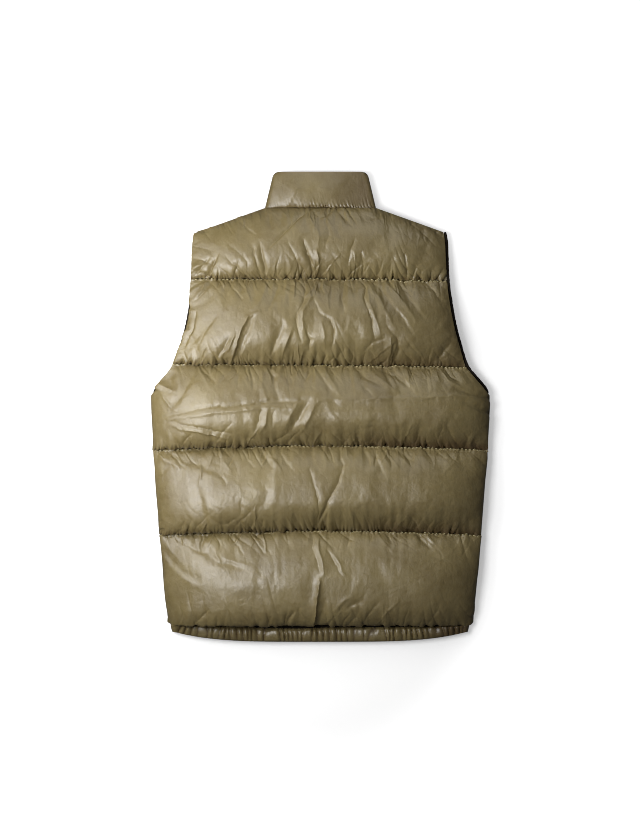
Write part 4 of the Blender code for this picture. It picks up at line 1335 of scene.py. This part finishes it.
def plainMaterial(name, values, kind, settings, pattern, tones, ribs=None, gloss=None):
    made, tree, shader = newMaterial(name, values)
    place = addNode(tree, "TexCoord").outputs["Object"]
    marks = addNode(tree, kind, settings, pattern, {"Vector": place}).outputs["Fac"]
    both = {6: colour(tones[0]), 7: colour(tones[1])}
    mixed = addNode(tree, "Mix", {"data_type": "RGBA"}, both, {0: marks})
    tree.links.new(mixed.outputs[2], shader.inputs["Base Color"])
    if ribs:
        bump = addNode(tree, "Bump", None, {"Strength": ribs[0], "Distance": ribs[1]}, {"Height": marks})
        tree.links.new(bump.outputs[0], shader.inputs["Normal"])
    if gloss:
        rough = addNode(tree, "MapRange", None, {3: gloss[0], 4: gloss[1]}, {0: marks})
        tree.links.new(rough.outputs[0], shader.inputs["Roughness"])
    return made


# Each plain material: its name and values, its pattern, with hills or bands for each metre, the pattern's two
# colours, the strength and depth of its ribs, and the roughness between the pattern's two ends.
plainMaterials = (
    (  # matt black folded elastic: cross ribs 1 mm apart and no shine
        "foldedElasticBinding", {"Roughness": 0.9, "Specular IOR Level": 0.2},
        "TexWave", {"bands_direction": "Y"}, {"Scale": 310.0, "Distortion": 1.2, "Detail": 1.0},
        ("120e0a", "29211a"), (0.5, 0.0003),
    ),
    (  # spun polyester, a little lighter than the cloth
        "polyesterThread", {"Roughness": 0.6}, "TexNoise", None, {"Scale": 900.0}, ("a0966e", "c6bc94"),
    ),
    (  # woven polyester tape, matt, with slanting ribs 1 mm apart
        "wovenZipTape", {"Roughness": 0.85},
        "TexWave", {"bands_direction": "DIAGONAL"}, {"Scale": 320.0, "Distortion": 0.6},
        ("3b3727", "524c37"), (0.4, 0.0002),
    ),
    (  # moulded acetal, satin and nearly even in colour
        "mouldedAcetalTeeth", {"Roughness": 0.45}, "TexNoise", None, {"Scale": 200.0}, ("46402c", "585139"),
    ),
    (  # zinc die casting with a dark satin plating, duller in some places than in others
        "platedZinc", {"Roughness": 0.38, "Metallic": 1.0},
        "TexNoise", None, {"Scale": 700.0, "Detail": 4.0}, ("57534a", "6e685b"), None, (0.3, 0.48),
    ),
)
nylon = coatedNylon()
elastic, thread, tape, teeth, metal = [plainMaterial(*values) for values in plainMaterials]
for node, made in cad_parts.items():
    if node.startswith("zip_tape"):
        made.data.materials.clear()
        made.data.materials.append(tape)
print("materials made")

movedRows = simulateBack()
print("cloth filled")
for rowName in rowNames:
    makeBackRow(rowName, movedRows.get(rowName))
    makeFrontRow(rowName, "left", -1, movedRows.get(rowName))
    makeFrontRow(rowName, "right", 1, movedRows.get(rowName))
makeCollar()
makeHemBand()
makeHemGapShade()
makeBinding("armholeBindingLeft", -1, "armhole_binding_left")
makeBinding("armholeBindingRight", 1, "armhole_binding_right")
for rowName in rowNames[1:]:
    below = rowNames[rowNames.index(rowName) - 1]
    uLine = np.linspace(-0.99, 0.99, 400)
    path = rowSurface(below, np.array([0.9650, 0.9825, 1.0]), uLine, movedRows.get(below))[1]
    path[:, 1] += 0.0009 * noiseLine(path[:, 0], 0.0085, 400 + len(below))
    path[:, 2] += stitch["lift"]
    makeStitches("stitches" + pieceName(rowName), path)
makeTeeth()
makeZipBox()
makeSlider()
makePull()
print("pieces made")

# floor, lamps and camera
studio = {
    "lamps": (  # name, power in W, size and place in metres
        ("mainPanel", 12.2, 0.6, (-0.524, 0.0, 1.298)),
        ("nearPanel", 1.6, 0.4, (-0.431, 0.249, 0.418)),
        ("sidePanel", 1.65, 0.4, (-0.498, 0.0, 0.418)),
        ("topPanel", 1.7, 0.6, (0.142, 0.807, 0.574)),
    ),
    "fill": 0.07,
    "fillBelow": 0.06,
    "floorLevel": -0.0003,
    "floorSize": 12.0,
    "glowHalf": (0.27, 0.42),
    "glowMiddle": -0.10,
    "floorGlow": (0.36, 0.80),  # beside the vest and far from it
    "lens": 150.0,
    "centre": (-0.0008, 0.0008),
    "viewHeight": 1.3008,  # how much of the floor the view takes in from top to bottom
    "aimLevel": 0.018,
}

bpy.ops.object.select_all(action="DESELECT")
bpy.ops.mesh.primitive_plane_add(size=studio["floorSize"], location=(0, 0, studio["floorLevel"]))
floor = bpy.context.object
floor.name = "studioFloor"
paper, paperTree, paperShader = newMaterial(
    "whitePaper",
    {"Base Color": (0.9, 0.9, 0.9, 1), "Roughness": 0.9, "Emission Color": (1, 1, 1, 1)},
)
wide, long = studio["glowHalf"]
place = {"Vector": addNode(paperTree, "TexCoord").outputs["Object"]}
oval = {"Location": (0, -studio["glowMiddle"] / long, 0), "Scale": (1 / wide, 1 / long, 0)}
onFloor = addNode(paperTree, "Mapping", None, oval, place)
fromVest = addNode(paperTree, "VectorMath", {"operation": "LENGTH"}, None, {0: onFloor.outputs[0]})
low, high = studio["floorGlow"]
away = {0: fromVest.outputs["Value"]}
soft = {"interpolation_type": "SMOOTHSTEP"}
glow = addNode(paperTree, "MapRange", soft, {1: 0.95, 2: 1.4, 3: low, 4: high}, away)
paperTree.links.new(glow.outputs[0], paperShader.inputs["Emission Strength"])
floor.data.materials.append(paper)
floor.visible_diffuse = floor.visible_glossy = False

for lampName, power, size, place in studio["lamps"]:
    lamp = bpy.data.lights.new(lampName, "AREA")
    lamp.energy, lamp.size = power, size
    made = bpy.data.objects.new(lampName, lamp)
    bpy.context.scene.collection.objects.link(made)
    made.location = place
    made.rotation_euler = (Vector((0, 0, 0.02)) - made.location).to_track_quat("-Z", "Y").to_euler()
    made.visible_camera = False

world = bpy.data.worlds.new("studioAir")
world.use_nodes = True
air = world.node_tree
direction = addNode(air, "TexCoord").outputs["Generated"]
height = addNode(air, "SeparateXYZ", None, None, {0: direction}).outputs["Z"]
above = addNode(air, "MapRange", None, {1: -0.05, 2: 0.6, 3: studio["fillBelow"], 4: studio["fill"]}, {0: height})
air.nodes["Background"].inputs[0].default_value = (1.0, 1.0, 1.0, 1.0)
air.links.new(above.outputs[0], air.nodes["Background"].inputs[1])
bpy.context.scene.world = world
bpy.context.scene.view_settings.view_transform = "Standard"
bpy.context.scene.cycles.filter_width = 1.0

cameraData = bpy.data.cameras.new("overhead")
cameraData.lens, cameraData.sensor_width, cameraData.sensor_fit = studio["lens"], 36.0, "AUTO"
cameraData.clip_end = 50.0
camera = bpy.data.objects.new("overhead", cameraData)
bpy.context.scene.collection.objects.link(camera)
distance = studio["viewHeight"] / 2 * studio["lens"] / 18.0
camera.location = (*studio["centre"], studio["aimLevel"] + distance)
bpy.context.scene.camera = camera
print("studio set up")
